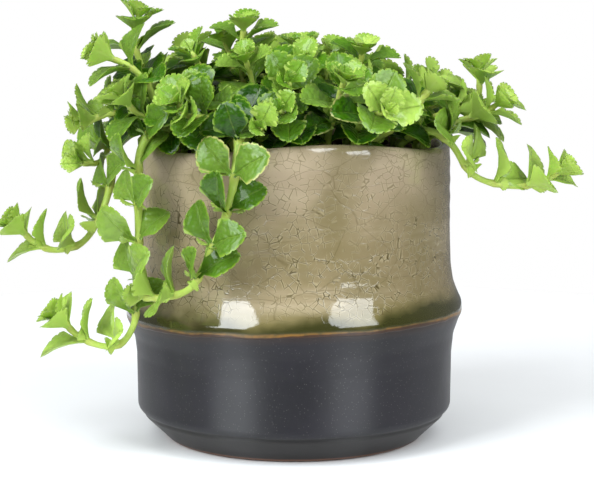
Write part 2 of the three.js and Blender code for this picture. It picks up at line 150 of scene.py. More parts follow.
# %% [markdown]
# ## The pot's shape
#
# The pot was thrown on a wheel and then pressed a little by hand. A turned profile gives the wheel's work:
# a narrow foot, an undercut shoulder, a dark body, a thick belt where the upper glaze stopped running, and
# the upper wall to a thin rounded rim. Small moves of that surface give the hand's work: a rim that rises
# and dips three times, three soft upright dents, and the faint spiral ridges that fingers leave.
#
# The straight profile is resampled finely and smoothed with a short window, which rounds each corner as a
# sponge does. The window is shorter at the foot, which was trimmed with a blade. A bevel or a subdivision
# would need its own settings at each corner.

# %% Pot sizes, as in the frame
UPPER_RADIUS, POT_WALL, POT_FLOOR = 53.9, 5, 6
RIM_HEIGHT, RIM_WAVE, RIM_TURN, WAVE_START = 104.8, 2, 12, 62  # RIM_TURN and DENT_WIDTH in degrees
DENT_DEPTH, DENT_WIDTH, DENT_START, DENT_RISE = 0.8, 7, 48, 24
BELT_HEIGHT, BELT_SPREAD, BELT_TILT = 44, 9, 1
SOIL_TOP, SEAT_GAP = 100, 0.3
POT_INSIDE = UPPER_RADIUS - POT_WALL

POT_OUTSIDE = np.array([
    [42.6, 0], [44.3, 0.5], [46.6, 2.8], [53.9, 9.8], [54.7, 12], [54.9, 30], [55.6, 36.5],
    [57.2, 40.8], [58.5, 43.6], [58.3, 47], [56.8, 50.5], [55.3, 54.8], [54.4, 61], [54, 72],
    [UPPER_RADIUS, 97], [53.2, 102.2], [52.2, 104.3],
])
POT_LIP = np.array([[51.2, RIM_HEIGHT], [50.1, RIM_HEIGHT - 0.6], [POT_INSIDE + 0.4, RIM_HEIGHT - 3]])
POT_HOLLOW = np.array([[POT_INSIDE, RIM_HEIGHT - 8], [POT_INSIDE, POT_FLOOR + 6],
                       [POT_INSIDE - 4, POT_FLOOR + 1], [0, POT_FLOOR]])


def angle_round(x, y):
    """Angle round the pot in degrees, from the front (-Y) towards +X."""
    return np.degrees(np.arctan2(x, -np.asarray(y)))


def rim_wave_at(angle):
    """Height of the rim's wave: a cosine with three periods round the pot."""
    return RIM_WAVE * np.cos(np.radians(3 * (angle - RIM_TURN)))


def dent_at(angle, height):
    """Depth of the dents: a bell curve across each of three upright lines, times a squared ramp in height."""
    off_lobe = (angle - RIM_TURN + 60) % 120 - 60
    ramp = np.clip((height - DENT_START) / DENT_RISE, 0, 1)
    return DENT_DEPTH * np.exp(-((off_lobe / DENT_WIDTH) ** 2)) * ramp**2


# %% A smooth profile and a closed turned skin
def smooth_profile(corners, step, window):
    """Points every step mm along a line through corners, each the mean of those within the window."""
    legs = np.hypot(*np.diff(corners, axis=0).T)
    reach = np.concatenate([[0], np.cumsum(legs)])
    at = np.linspace(0, reach[-1], int(reach[-1] / step) + 1)
    line = np.stack([np.interp(at, reach, corners[:, i]) for i in (0, 1)], axis=1)
    width = 2 * int(window / step / 2) + 1
    padded = np.pad(line, ((width // 2, width // 2), (0, 0)), mode="reflect", reflect_type="odd")
    return np.stack([np.convolve(padded[:, i], np.ones(width) / width, "valid") for i in (0, 1)], axis=1)


def skin_faces(rings, sides, first=0):
    """Quads that join each ring of points to the next one, and a polygon on each end."""
    here = first + np.arange(rings - 1)[:, None] * sides + np.arange(sides)[None, :]
    across = first + np.arange(rings - 1)[:, None] * sides + (np.arange(sides)[None, :] + 1) % sides
    quads = np.stack([here, across, across + sides, here + sides], axis=-1).reshape(-1, 4)
    last = first + (rings - 1) * sides
    return [*quads.tolist(), [*range(first + sides - 1, first - 1, -1)], [*range(last, last + sides)]]


def turned_skin(profile, sides):
    """A profile of [radius, height] turned about Z, counter-clockwise seen from above."""
    turn = 2 * np.pi * np.arange(sides) / sides
    ring = np.stack([np.sin(turn), -np.cos(turn)], axis=1)
    points = np.empty((len(profile), sides, 3))
    points[..., :2] = profile[:, None, :1] * ring[None]
    points[..., 2] = profile[:, None, 1]
    return points


# %% Build the pot
POT_SIDES = 240
THROWING_RINGS = 6.5  # mm between two finger ridges
RING_DEPTH = 0.1  # mm, which a slow sine spreads unevenly


def throw_by_hand(points, has_rim):
    """Moves a turned skin to its hand-thrown shape.

    The radius loses the dents and gains a ripple, the sine of height over the ring spacing plus the angle,
    which makes a spiral. The ripple begins above the belt, and the square of a slow sine lets it come and go.
    The height gains the rim's wave times the square of the way up to the rim, and near the belt a tilt
    towards the front and the right.
    """
    x, y, z = np.moveaxis(points, -1, 0)
    radius = np.hypot(x, y)
    angle = angle_round(x, y)
    on_outside = (radius > POT_INSIDE + 1) * 1.0
    comes_and_goes = (0.5 + 0.5 * np.sin(3 * np.radians(angle) + z / 9)) ** 2
    ripple = RING_DEPTH * np.sin(2 * np.pi * z / THROWING_RINGS + np.radians(angle)) * comes_and_goes
    ripple = ripple * np.clip((z - BELT_HEIGHT) / BELT_SPREAD - 0.7, 0, 1)
    moved = 1 + (on_outside * ripple - dent_at(angle, z)) / np.maximum(1, radius)
    wave = rim_wave_at(angle) * np.clip((z - WAVE_START) / (RIM_HEIGHT - WAVE_START), 0, 1) ** 2
    tilt_here = BELT_TILT * (np.cos(np.radians(angle)) + np.sin(np.radians(angle)))
    near_belt = on_outside * np.exp(-(((z - BELT_HEIGHT) / BELT_SPREAD) ** 2))
    rise = (wave + tilt_here * near_belt) if has_rim else 0
    return np.stack([x * moved, y * moved, z + rise], axis=-1)


rim = np.array([[UPPER_RADIUS, 97], [53.7, 102.6], [52.8, 104.4]])
body = np.concatenate([POT_OUTSIDE[5:-3], rim, POT_LIP])
groove = [[52.6, 8.5], [52.6, 9.5], [54.2, 10.6]]
foot = smooth_profile(np.concatenate([[[30, 0]], POT_OUTSIDE[:3], groove, POT_OUTSIDE[4:6]]), 0.4, 0.9)
outside = np.concatenate([foot, smooth_profile(body, 0.8, 2.4)[1:]])
hollow = smooth_profile(np.concatenate([POT_LIP[-1:], POT_HOLLOW]), 4, 4)
profile = np.concatenate([[[0.5, 0], [15, 0]], outside, hollow[1:-1], [[0.5, POT_FLOOR]]])
pot_points = throw_by_hand(turned_skin(profile, POT_SIDES), True)
print("pot rings and points:", pot_points.shape[:2], "widest mm:", round(float(pot_points[..., 0].max()), 1))

# %% [markdown]
# ## The two glazes
#
# The real finish is stoneware dipped twice. The upper part is a glossy ash glaze: beige where it is thin at
# the rim, greener where it is thick, and olive where it pooled above the belt, most of all at the sides.
# Cooling drew it into a net of fine crackle lines. Each is a dark line, partly painted shade, between two
# pale lips, which are a painted highlight where light catches the raised edges. The body below is an iron
# glaze that came out satin and charcoal, with pale specks that are painted partly as glints. Where the two
# meet, the iron bleeds through as an amber line with a rusty edge, and the foot's rim is bare clay. One
# material can hold all of this, because every change is a matter of height above a wandering glaze line.
# Each change is worked out as a share from 0 to 1 first, and the colours are then laid over one another by
# these shares, as a glazer would.

# %% Glaze line: height above it, in metres
GLAZE_LINE = 43.3 * MM  # mean height of the line
GLAZE_TILT = 1.2 / 56  # it climbs by 1.2 mm to the front and the right of a 56 mm radius
GLAZE_WANDER = 1.1 * MM  # and strays by this up and down

stoneware, tree, shader = start_finish(
    "two_glazes_on_stoneware", IOR=1.55, Coat_IOR=1.5, Coat_Roughness=0.02, Anisotropic=0.95,
    Anisotropic_Rotation=0.25)
where = add(tree, "TexCoord", output="Object")
axes = add(tree, "SeparateXYZ", {0: where}).node.outputs
wander = add(tree, "TexNoise", {"Vector": where, "Scale": 55, "Detail": 3})
sideways = add(tree, "Math", {0: axes[0], 1: axes[1]}, operation="SUBTRACT")
stray = add(tree, "MapRange", {0: wander, 3: GLAZE_LINE - GLAZE_WANDER, 4: GLAZE_LINE + GLAZE_WANDER})
line = add(tree, "Math", {0: sideways, 1: GLAZE_TILT, 2: stray}, operation="MULTIPLY_ADD")
above = add(tree, "Math", {0: axes[2], 1: line}, operation="SUBTRACT")
is_upper = add(tree, "MapRange", {0: above, 1: -0.25 * MM, 2: 0.25 * MM}, **SOFT)
print("glaze line, mean height in mm:", GLAZE_LINE / MM)

# %% Upper glaze: thin at the rim, streaked by the wheel, thick and pooled above the line
flat_where = add(tree, "Mapping", {0: where, 3: (9, 9, 75)})
streaks = add(tree, "TexNoise", {"Vector": flat_where, "Scale": 1.6, "Detail": 4, "Roughness": 0.6})
cloud = add(tree, "TexNoise", {"Vector": where, "Scale": 34, "Detail": 4})
thinness = add(tree, "MapRange", {0: axes[2], 1: 68 * MM, 2: 104 * MM}, **SOFT)
streakiness = add(tree, "MapRange", {0: streaks, 1: 0.42, 2: 0.75, 4: 0.8}, **SOFT)
cloudiness = add(tree, "MapRange", {0: cloud, 1: 0.52, 2: 0.34, 4: 0.55}, **SOFT)
# Painted light and shade: the upper glaze is painted lighter on the left and darker on the right.
to_the_right = add(tree, "MapRange", {0: axes[0], 1: -45 * MM, 2: 40 * MM})
painted_side_light_and_shade = add(tree, "Mix", {0: to_the_right, 6: paint("#bdac8c"), 7: paint("#655b3b")}, **COLOURS)
# Olive in and beside each dent: partly glaze pooled there, partly painted shade on its right slope.
dent_pool_and_painted_shade = add(tree, "Attribute", attribute_name="dent", output="Fac")
thick = add(tree, "MapRange", {0: above, 1: 12 * MM, 2: 3 * MM, 4: 0.75}, **SOFT)
off_middle = add(tree, "Math", {0: axes[0]}, operation="ABSOLUTE")
fuller = add(tree, "MapRange", {0: off_middle, 1: 15 * MM, 2: 48 * MM, 3: 1 * MM, 4: -2.5 * MM}, **SOFT)
pool_edge = add(tree, "Math", {0: wander, 1: -10.5 * MM, 2: above}, operation="MULTIPLY_ADD")
pool_edge = add(tree, "Math", {0: pool_edge, 1: fuller}, operation="ADD")
pooled = add(tree, "MapRange", {0: pool_edge, 1: 2.5 * MM, 2: -3 * MM, 4: 0.88}, **SOFT)

# %% Crackle: the edges of warped cells, strong in some patches and faint in others
CRACKLE_SIZE = 2.7 * MM  # between two crackle lines
CRACKLE_WIDTH = 0.065  # half a line as a share of that. The real 0.05 mm lines wouldn't show
near_edge = {"feature": "DISTANCE_TO_EDGE"}

warp = add(tree, "TexNoise", {"Vector": where, "Scale": 140, "Detail": 2}, output="Color")
bent = add(tree, "VectorMath", {0: warp, 1: (0.0014, 0.0014, 0.0014), 2: where}, operation="MULTIPLY_ADD")
slanted = add(tree, "Mapping", {0: bent, 2: (0.3, 0.7, 0.5), 3: (0.5, 1, 1.3)})
cells = add(tree, "TexVoronoi", {"Vector": bent, "Scale": 1 / CRACKLE_SIZE}, **near_edge)
long_cells = add(tree, "TexVoronoi", {"Vector": slanted, "Scale": 0.27 / CRACKLE_SIZE}, **near_edge)
patch = add(tree, "TexNoise", {"Vector": where, "Scale": 45, "Detail": 2})
breaks = add(tree, "TexNoise", {"Vector": where, "Scale": 380, "Detail": 1})
patchy = add(tree, "MapRange", {0: patch, 1: 0.32, 2: 0.55, 3: 0.4}, **SOFT)
by_rim = add(tree, "MapRange", {0: axes[2], 1: 76 * MM, 2: 98 * MM, 3: 1.0, 4: 0.5}, **SOFT)
broken = add(tree, "MapRange", {0: breaks, 1: 0.4, 2: 0.5, 4: by_rim}, **SOFT)
strength = add(tree, "Math", {0: patchy, 1: broken}, operation="MULTIPLY")
fine_line = add(tree, "MapRange", {0: cells, 1: CRACKLE_WIDTH, 2: 0, 4: strength}, **SOFT)
long_line = add(tree, "MapRange", {0: long_cells, 1: 0.3 * CRACKLE_WIDTH, 2: 0, 4: 0.36}, **SOFT)
crackle = add(tree, "Math", {0: fine_line, 1: long_line}, operation="MAXIMUM")
crackle = add(tree, "Math", {0: crackle, 1: is_upper}, operation="MULTIPLY")
# The dark crackle line: partly a real line in the glaze, partly painted shade beside its raised edge.
crackle_shade = add(tree, "Math", {0: crackle, 1: pooled}, operation="SUBTRACT", use_clamp=True)
# Painted highlight: pale lips beside each crackle line, where light catches its raised edges.
painted_crackle_highlight = add(tree, "MapRange", {0: cells, 1: 2.4 * CRACKLE_WIDTH, 2: 1.2 * CRACKLE_WIDTH, 4: 0.28}, **SOFT)
painted_crackle_highlight = add(tree, "Math", {0: painted_crackle_highlight, 1: strength}, operation="MULTIPLY")
painted_crackle_highlight = add(tree, "Math", {0: painted_crackle_highlight, 1: pooled}, operation="SUBTRACT", use_clamp=True)

# %% Amber line with its rusty edge, and all colours of the upper glaze from the bottom one up
amber_patch = add(tree, "MapRange", {0: breaks, 1: 0.3, 2: 0.62, 3: 0.35}, **SOFT)
amber = add(tree, "MapRange", {0: above, 1: 1.8 * MM, 2: 0.9 * MM, 4: amber_patch}, **SOFT)
rust_top = add(tree, "Math", {0: patch, 1: -2.4 * MM, 2: above}, operation="MULTIPLY_ADD")
rust = add(tree, "MapRange", {0: rust_top, 1: -0.2 * MM, 2: -0.7 * MM, 4: 0.9}, **SOFT)
upper_layers = [
    (thinness, paint("#aa9983")),
    (0.3, painted_side_light_and_shade),
    (streakiness, paint("#a99b81")),
    (cloudiness, paint("#6c6241")),
    (dent_pool_and_painted_shade, paint("#5f5631")),
    (thick, paint("#5b5526")),
    (pooled, paint("#22250a")),
    (painted_crackle_highlight, paint("#b5a988")),
    (crackle_shade, paint("#463c1e")),
    (amber, paint("#75521a")),
    (rust, paint("#2a1207")),
]
upper = paint("#7d6f52")
for share, colour in upper_layers:
    upper = add(tree, "Mix", {0: share, 6: upper, 7: colour}, **COLOURS)
print("colours of the upper glaze:", len(upper_layers) + 1)

# %% Charcoal glaze: mottled, pale specks and painted glints, rusty under the line, trimmed and bare at the foot
FOOT_CREASE = 9.6 * MM  # height of the shoulder where the trimmed foot begins

# Pale specks: partly the glaze's own, partly painted glints such as its tiny pits would catch.
speck = add(tree, "TexVoronoi", {"Vector": where, "Scale": 1000}, feature="F1")
pale_specks_and_painted_glints = add(tree, "MapRange", {0: speck, 1: 0.19, 2: 0.07, 4: 0.35}, **SOFT)
mottle = add(tree, "MapRange", {0: cloud, 1: 0.35, 2: 0.65}, **SOFT)
halo = add(tree, "MapRange", {0: above, 1: -3 * MM, 2: -0.3 * MM, 4: 0.5}, **SOFT)
trimmed = {0: axes[2], 1: FOOT_CREASE + 0.2 * MM, 2: FOOT_CREASE - 0.8 * MM, 4: 0.8}
trimmed = add(tree, "MapRange", trimmed, **SOFT)
# Painted shade: a near-black band in the crease where the body's edge overhangs the trimmed foot.
painted_crease_shade = add(tree, "Math", {0: axes[2], 1: FOOT_CREASE, 2: 0.7 * MM}, operation="COMPARE")
bare = add(tree, "MapRange", {0: axes[2], 1: 1.6 * MM, 2: 0.9 * MM}, **SOFT)
lower_layers = [(mottle, "#16141b"), (pale_specks_and_painted_glints, "#77716f"), (halo, "#2c1d14"), (trimmed, "#171310"),
                (painted_crease_shade, "#0b0808"), (bare, "#6b4a38")]
lower = paint("#0c0b11")
for share, hex_colour in lower_layers:
    lower = add(tree, "Mix", {0: share, 6: lower, 7: paint(hex_colour)}, **COLOURS)
add(tree, "Mix", {0: is_upper, 6: lower, 7: upper}, feeds=shader.inputs["Base Color"], **COLOURS)

# %% Gloss and relief of the glazes: a step at the line, orange peel, and ridges along the crackle
satin = add(tree, "MapRange", {0: wander, 1: 0.3, 2: 0.7, 3: 0.42, 4: 0.49})
glossy = add(tree, "MapRange", {0: above, 1: 0.8 * MM, 2: 2.4 * MM, 3: 0.4, 4: 0.075}, **SOFT)
add(tree, "Mix", {0: is_upper, 2: satin, 3: glossy}, feeds=shader.inputs["Roughness"])
add(tree, "MapRange", {0: above, 1: 1.2 * MM, 2: 3 * MM, 4: 0.42}, feeds=shader.inputs["Coat Weight"], **SOFT)
add(tree, "Tangent", direction_type="RADIAL", axis="Z", feeds=shader.inputs["Tangent"])
orange_peel = add(tree, "TexNoise", {"Vector": where, "Scale": 420, "Detail": 3})
ridge = add(tree, "MapRange", {0: above, 1: 4 * MM, 2: 14 * MM, 3: 0.1, 4: 0.5}, **SOFT)
ridge = add(tree, "Math", {0: crackle, 1: ridge}, operation="MULTIPLY")
relief = add(tree, "Math", {0: orange_peel, 1: 0.35, 2: ridge}, operation="MULTIPLY_ADD")
relief = add(tree, "Math", {0: is_upper, 1: 2.0, 2: relief}, operation="MULTIPLY_ADD")
add(tree, "Bump", {"Height": relief, "Strength": 0.8, "Distance": 0.11 * MM}, feeds=shader.inputs["Normal"])

# %% The pot's piece, with the depth of its dents as an attribute for pooled glaze and painted shade
DENT_SHADE = 0.4  # share of the olive colour in the deepest dent: pooled glaze and painted shade
SHADE_TURN = DENT_WIDTH / 3  # degrees by which the olive and its painted shade lie to the right of the dent

pot_faces = skin_faces(len(profile), POT_SIDES)
pot_skin = make_piece("thrown_pot", pot_points.reshape(-1, 3), pot_faces, [stoneware])
x, y, z = pot_points.reshape(-1, 3).T
dent_pool_and_shade_share = DENT_SHADE * dent_at(angle_round(x, y) - SHADE_TURN, z) / DENT_DEPTH
dent_layer = pot_skin.data.attributes.new("dent", "FLOAT", "POINT")
dent_layer.data.foreach_set("value", dent_pool_and_shade_share.astype(np.float32))
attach(pot_skin, "root")
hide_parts("pot")
print("pot faces:", len(pot_faces))

# %% [markdown]
# ## The soil
#
# Peaty potting soil fills the pot to just under the rim. It is crowned, lumpy, and strewn with crumbs and a
# few pale grains of pumice. A grid of rings moved up and down by summed sines gives the lumps, and the
# crumbs are small dented balls sunk halfway in. Real loose grains would cost far more faces and hardly show
# between the leaves.

# %% Soil surface
SOIL_SIDES, SOIL_RINGS = 120, 34
SOIL_RADIUS = POT_INSIDE - SEAT_GAP - 0.2
CROWN = 1.2  # mm that the middle stands over the edge
LUMP = 0.45  # mm
CRUMBS, SMALLEST_CRUMB, CRUMB_RANGE = 420, 0.35, 1.1  # how many, and their radii in mm
grains = np.random.default_rng(11)


def lumps_at(x, y):
    """Height of the lumps: six sines of different directions and lengths from 3 to 14 mm, added up."""
    height = np.zeros_like(x)
    for k in range(6):
        turn, length = 2.4 * k, 3 + 2.2 * k
        height += np.sin(2 * np.pi * (x * np.cos(turn) + y * np.sin(turn)) / length + 1.7 * k)
    return LUMP * height / 2


inner = np.linspace(0.4, SOIL_RADIUS, SOIL_RINGS)[::-1]
crown = SOIL_TOP + CROWN * (1 - (inner / SOIL_RADIUS) ** 2)
bottom = np.array([[0.4, POT_FLOOR + SEAT_GAP], [SOIL_RADIUS - 5, POT_FLOOR + SEAT_GAP],
                   [SOIL_RADIUS, POT_FLOOR + 6], [SOIL_RADIUS, SOIL_TOP - 1]])
soil_points = turned_skin(np.concatenate([bottom, np.stack([inner, crown], axis=1)]), SOIL_SIDES)
soil_points = throw_by_hand(soil_points, False)
top = soil_points[len(bottom):]
calm_edge = np.clip((SOIL_RADIUS - np.hypot(top[..., 0], top[..., 1])) / 4, 0, 1)
top[..., 2] += calm_edge * lumps_at(top[..., 0], top[..., 1])

# %% Crumbs of soil, as one array of crumb by point
BALL_SIDES = 5
ball = turned_skin(np.array([[0.25, -0.9], [1, -0.25], [0.85, 0.5], [0.2, 0.95]]), BALL_SIDES).reshape(-1, 3)
reach = (SOIL_RADIUS - 2) * np.sqrt(grains.random(CRUMBS))
turn = 2 * np.pi * grains.random(CRUMBS)
size = SMALLEST_CRUMB + CRUMB_RANGE * grains.random(CRUMBS) ** 3
middle = np.stack([reach * np.cos(turn), reach * np.sin(turn)], axis=1)
height = SOIL_TOP + CROWN * (1 - (reach / SOIL_RADIUS) ** 2) + lumps_at(*middle.T) + 0.15 * size
crumbs = ball[None] * (0.7 + 0.6 * grains.random((CRUMBS, len(ball), 1))) * size[:, None, None]
crumbs += np.concatenate([middle, height[:, None]], axis=1)[:, None]
faces = skin_faces(len(soil_points), SOIL_SIDES)
for k in range(CRUMBS):
    faces += skin_faces(4, BALL_SIDES, soil_points[..., 0].size + k * len(ball))
print("crumbs:", CRUMBS, "soil top mm:", round(float(top[..., 2].max()), 1))

# %% Soil finish: dark damp peat, very rough, with paler dry specks
peat, tree, shader = start_finish("damp_potting_soil", Roughness=0.95, Specular_IOR_Level=0.25)
where = add(tree, "TexCoord", output="Object")
coarse = add(tree, "TexNoise", {"Vector": where, "Scale": 260, "Detail": 5, "Roughness": 0.65})
grain = add(tree, "TexVoronoi", {"Vector": where, "Scale": 210}, output="Color")
chance = add(tree, "SeparateXYZ", {0: grain})
pumice = add(tree, "MapRange", {0: chance, 1: 0.93, 2: 0.95, 4: 0.75})
dryness = add(tree, "MapRange", {0: coarse, 1: 0.35, 2: 0.7}, **SOFT)
earth = add(tree, "Mix", {0: dryness, 6: paint("#1d140c"), 7: paint("#4d3b29")}, **COLOURS)
add(tree, "Mix", {0: pumice, 6: earth, 7: paint("#8f8068")}, feeds=shader.inputs["Base Color"], **COLOURS)
add(tree, "Bump", {"Height": coarse, "Strength": 1.0, "Distance": 0.9 * MM}, feeds=shader.inputs["Normal"])

soil_points = np.concatenate([soil_points.reshape(-1, 3), crumbs.reshape(-1, 3)])
soil_skin = make_piece("potting_soil", soil_points, faces, [peat])
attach(soil_skin, "root")
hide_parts("soil")

# %% [markdown]
# ## Where the stems run
#
# Each stem passes a few points above the soil. The ones that show singly are listed one by one, and the
# mound's come from a rule: feet on a golden-angle spiral over the soil, tips on a dome. The frame grew its
# stems and leaves by this same rule and with the same seeded draws, so the finer plant coincides with the
# frame without reading it.

# %% Sizes of the mound and the routes listed one by one
FOOT_DEPTH, COLLAR_HEIGHT = 8, 101
FILLERS, GOLDEN_ANGLE = 34, 137.508
SPIRAL_START, SPIRAL_SPREAD = 5, 37  # from the axis to the first foot, and from there to the last
DOME_TOP, DOME_SLOPE, DOME_FALL, DOME_REACH, DOME_EDGE, DOME_DROP = 142, 0.13, 28, 62, 120, 8
STEM_TAPER, STEM_GAP, ROUTE_STEP, SPAN_STEPS = 0.4, 4.2, 1.5, 12

# Name, girth, and the points from foot to tip.
TRAINED = [
    ("tall_left", 1.6, [[-35, -8, 104], [-43, -8, 114], [-49, -8, 123], [-53, -10, 133], [-54, -10, 139],
                        [-53, -10, 145]]),
    ("left", 1.5, [[-41, -18, 104], [-46, -23, 117], [-49, -27, 125], [-55, -29, 131], [-63, -30, 134]]),
    ("top_fan", 1.5, [[-15, -8, 104], [-17, -8, 121], [-18, -10, 133], [-17, -12, 142]]),
    ("top_middle", 1.4, [[2, -2, 104], [3, -4, 121], [2, -6, 135]]),
    ("top_right", 1.4, [[19, -4, 104], [22, -6, 121], [23, -10, 134]]),
    ("bright_front", 1.4, [[11, -34, 106], [13, -42, 116], [16, -50, 127]]),
    ("thick_right", 2, [[22, -27, 104], [29, -33, 108.5], [37, -36, 115], [44, -36, 123]]),
    ("far_right", 1.5, [[42, -6, 104], [55, -6, 109], [61, -6, 112], [63, -8, 119], [63, -8, 127]]),
    ("trailing_right", 1.5, [[36, -21, 104], [44, -26, 109], [52, -29, 105], [59, -29, 95], [69, -28, 91],
                             [80, -28, 91], [88, -28, 95]]),
    ("front_left", 1.4, [[-28, -34, 105], [-32, -42, 112], [-35, -48, 116], [-37, -52, 120]]),
    ("low_left", 1.4, [[-37, -23, 104], [-46, -31, 112], [-52, -36, 116], [-56, -37, 121]]),
    ("out_left", 1.5, [[-40, -12, 104], [-52, -16, 113], [-62, -19, 114], [-70, -20, 111]]),
    ("drop_left", 1.4, [[-38, 11, 104], [-51, 12, 112.5], [-61, 9, 107], [-67, 4, 96], [-73, 0, 95]]),
    ("out_right", 1.4, [[44, -13, 104], [54, -16, 111], [62, -18, 113], [68, -19, 117]]),
    ("trailing_left", 1.7, [[-40, 3, 104], [-50, -1, 112], [-59, -6, 105], [-63, -10, 88], [-67, -11, 77],
                            [-73, -12, 69], [-82, -14, 67], [-89, -14, 70], [-94, -14, 75]]),
    ("trailing_low", 1.7, [[-33, -28, 104], [-43, -37, 111.5], [-50, -42, 104], [-51, -41, 86],
                           [-51, -41, 67], [-52, -40, 54], [-53, -41, 46], [-57, -42, 40], [-63, -42, 39],
                           [-71, -41, 42], [-77, -41, 48]]),
    ("trailing_front", 1.8, [[-15, -37, 104], [-17, -50, 112], [-18, -59, 104], [-20, -58, 91],
                             [-23, -57, 81], [-28, -56, 70], [-33, -55, 61], [-41, -51, 57], [-49, -47, 56]]),
]
print("shoots placed by hand:", len(TRAINED))


# %% Seeded draws and turns
class Draws:
    """One draw after another from 0 to 1: the seed times 1664525 plus 1013904223, kept to 32 bits."""

    def __init__(self, seed):
        self.seed = seed

    def __call__(self):
        self.seed = (self.seed * 1664525 + 1013904223) & 0xFFFFFFFF
        return self.seed / 4294967296


draw = Draws(7351)


def unit(vector):
    return vector / np.linalg.norm(vector)


def turn_about(vector, axis, degrees):
    """The vector turned about a unit axis, by Rodrigues' formula."""
    c, s = math.cos(math.radians(degrees)), math.sin(math.radians(degrees))
    return vector * c + np.cross(axis, vector) * s + axis * (axis @ vector) * (1 - c)


# %% The route through a few points
def trace_route(points):
    """A smooth line through the points, with its places, directions ahead and untwisted sideways directions.

    Between two points it is the uniform Catmull-Rom cubic, in SPAN_STEPS steps. It is then sampled evenly,
    and the sideways direction of each sample is the one before, made square to the line again.
    """
    ends = [2 * points[0] - points[1], *points, 2 * points[-1] - points[-2]]
    t = np.arange(1, SPAN_STEPS + 1)[:, None] / SPAN_STEPS
    weights = [(-t + 2 * t**2 - t**3) / 2, (2 - 5 * t**2 + 3 * t**3) / 2,
               (t + 4 * t**2 - 3 * t**3) / 2, (t**3 - t**2) / 2]
    spans = [sum(w * p for w, p in zip(weights, ends[k:k + 4])) for k in range(len(points) - 1)]
    dense = np.concatenate([points[:1], *spans])
    reach = np.concatenate([[0], np.cumsum(np.linalg.norm(np.diff(dense, axis=0), axis=1))])
    count = round(reach[-1] / ROUTE_STEP)
    at = reach[-1] * np.arange(count + 1) / count
    places = np.stack([np.interp(at, reach, dense[:, i]) for i in range(3)], axis=1)
    ahead = np.concatenate([places[1:], places[-1:]]) - np.concatenate([places[:1], places[:-1]])
    ahead /= np.linalg.norm(ahead, axis=1)[:, None]
    aside = [np.array([1.0, 0.0, 0.0])]
    for direction in ahead[1:]:
        aside.append(unit(aside[-1] - (aside[-1] @ direction) * direction))
    return {"places": places, "ahead": ahead, "aside": np.array(aside), "count": count}


# %% The mound's shoots
ROUTE_TURNS = [0, 9, -9, 18, -18, 27, -27]  # degrees by which a route may turn to find room


def filler_shoot(index):
    """One shoot of the mound. Its foot lies on a golden-angle spiral, and its tip on the dome, farther out.

    A middle point about a third of the way out and more than half of the way up bows it outwards.
    """
    reach = math.sqrt((index + 0.6) / FILLERS)
    angle = math.radians(index * GOLDEN_ANGLE + 14 * (draw() - 0.5))
    foot = SPIRAL_START + SPIRAL_SPREAD * reach
    tip = foot * 1.16 + 15 * reach**2 + 7 * draw()
    swing = angle + 0.3 * (draw() - 0.5)
    tip_x, tip_y = tip * math.cos(swing), tip * math.sin(swing)
    dome = DOME_TOP - DOME_SLOPE * tip_x - DOME_FALL * (tip / DOME_REACH) ** 2
    tip_z = max(DOME_EDGE, dome) - DOME_DROP * draw()
    foot_x, foot_y = foot * math.cos(angle), foot * math.sin(angle)
    bow = 0.3 + 0.25 * draw()
    middle = [foot_x + bow * (tip_x - foot_x), foot_y + bow * (tip_y - foot_y),
              SOIL_TOP + 6 + 0.6 * (tip_z - SOIL_TOP - 4)]
    girth = 1.2 + 0.3 * draw()
    return f"{index + 1:02d}", girth, [[foot_x, foot_y, SOIL_TOP + 4], middle, [tip_x, tip_y, tip_z]]


def route_of(points, turned):
    """The route turned about the pot's axis, with its foot straight down in the soil."""
    points = np.array([turn_about(np.array(p, float), np.array([0, 0, 1.0]), turned) for p in points])
    x, y = points[0, :2]
    foot = np.array([[x, y, SOIL_TOP - FOOT_DEPTH], [x, y, COLLAR_HEIGHT]])
    return trace_route(np.concatenate([foot, points]))


# %% Room for a stem
def pot_leaves_room(points, margin):
    """For each point, whether it is above the rim, outside the wall, or inside it over the soil."""
    x, y, z = points.T
    radius = np.hypot(x, y)
    over = z > RIM_HEIGHT + rim_wave_at(angle_round(x, y)) + margin
    beside = radius > np.interp(z, POT_OUTSIDE[:, 1], POT_OUTSIDE[:, 0]) + margin + 0.5
    within = (radius < POT_INSIDE - margin - DENT_DEPTH) & (z > SOIL_TOP + margin)
    return over | ((z >= 4) & (beside | within))


def gaps(points, others):
    """Distances between every point and every other point."""
    return np.linalg.norm(points[:, None] - others[None], axis=-1)


def stem_has_room(route, girth, laid):
    places = route["places"]
    margin = girth + SEAT_GAP
    rooted = np.linalg.norm(places - places[0], axis=1) < FOOT_DEPTH + margin
    clear = all(gaps(places, other["places"]).min() >= STEM_GAP for other in laid)
    return clear and bool(np.all(rooted | pot_leaves_room(places, margin)))


# %% Lay the stems
PHASE_STEP, QUARTER = 41, 90  # degrees: each shoot's first pair of leaves is turned on from the last

shoots = []
planned = [*TRAINED, *[filler_shoot(i) for i in range(FILLERS)]]
for index, (name, girth, points) in enumerate(planned):
    turns = [0] if index < len(TRAINED) else ROUTE_TURNS
    routes = (route_of(points, turned) for turned in turns)
    route = next((r for r in routes if stem_has_room(r, girth, shoots)), None)
    if route is None:
        continue
    shoots.append({"name": name, "girth": girth, "phase": (index * PHASE_STEP) % QUARTER, "leaves": [],
                   "trained": index < len(TRAINED), **route})
print("stems laid:", len(shoots), "of", len(planned))

# %% [markdown]
# ## How the leaves grow
#
# A pilea grows a pair of leaves at each joint of the stem, each pair crosswise to the one before. At the
# tip the youngest stand up round the bud, and lower pairs are larger, more open and bent back. Leaves also
# turn their faces to the light. A leaf that would press into the pot, a stem or another leaf is turned a
# little, as a growing leaf finds its gap, or left out. This is again the frame's own rule, draw for draw.

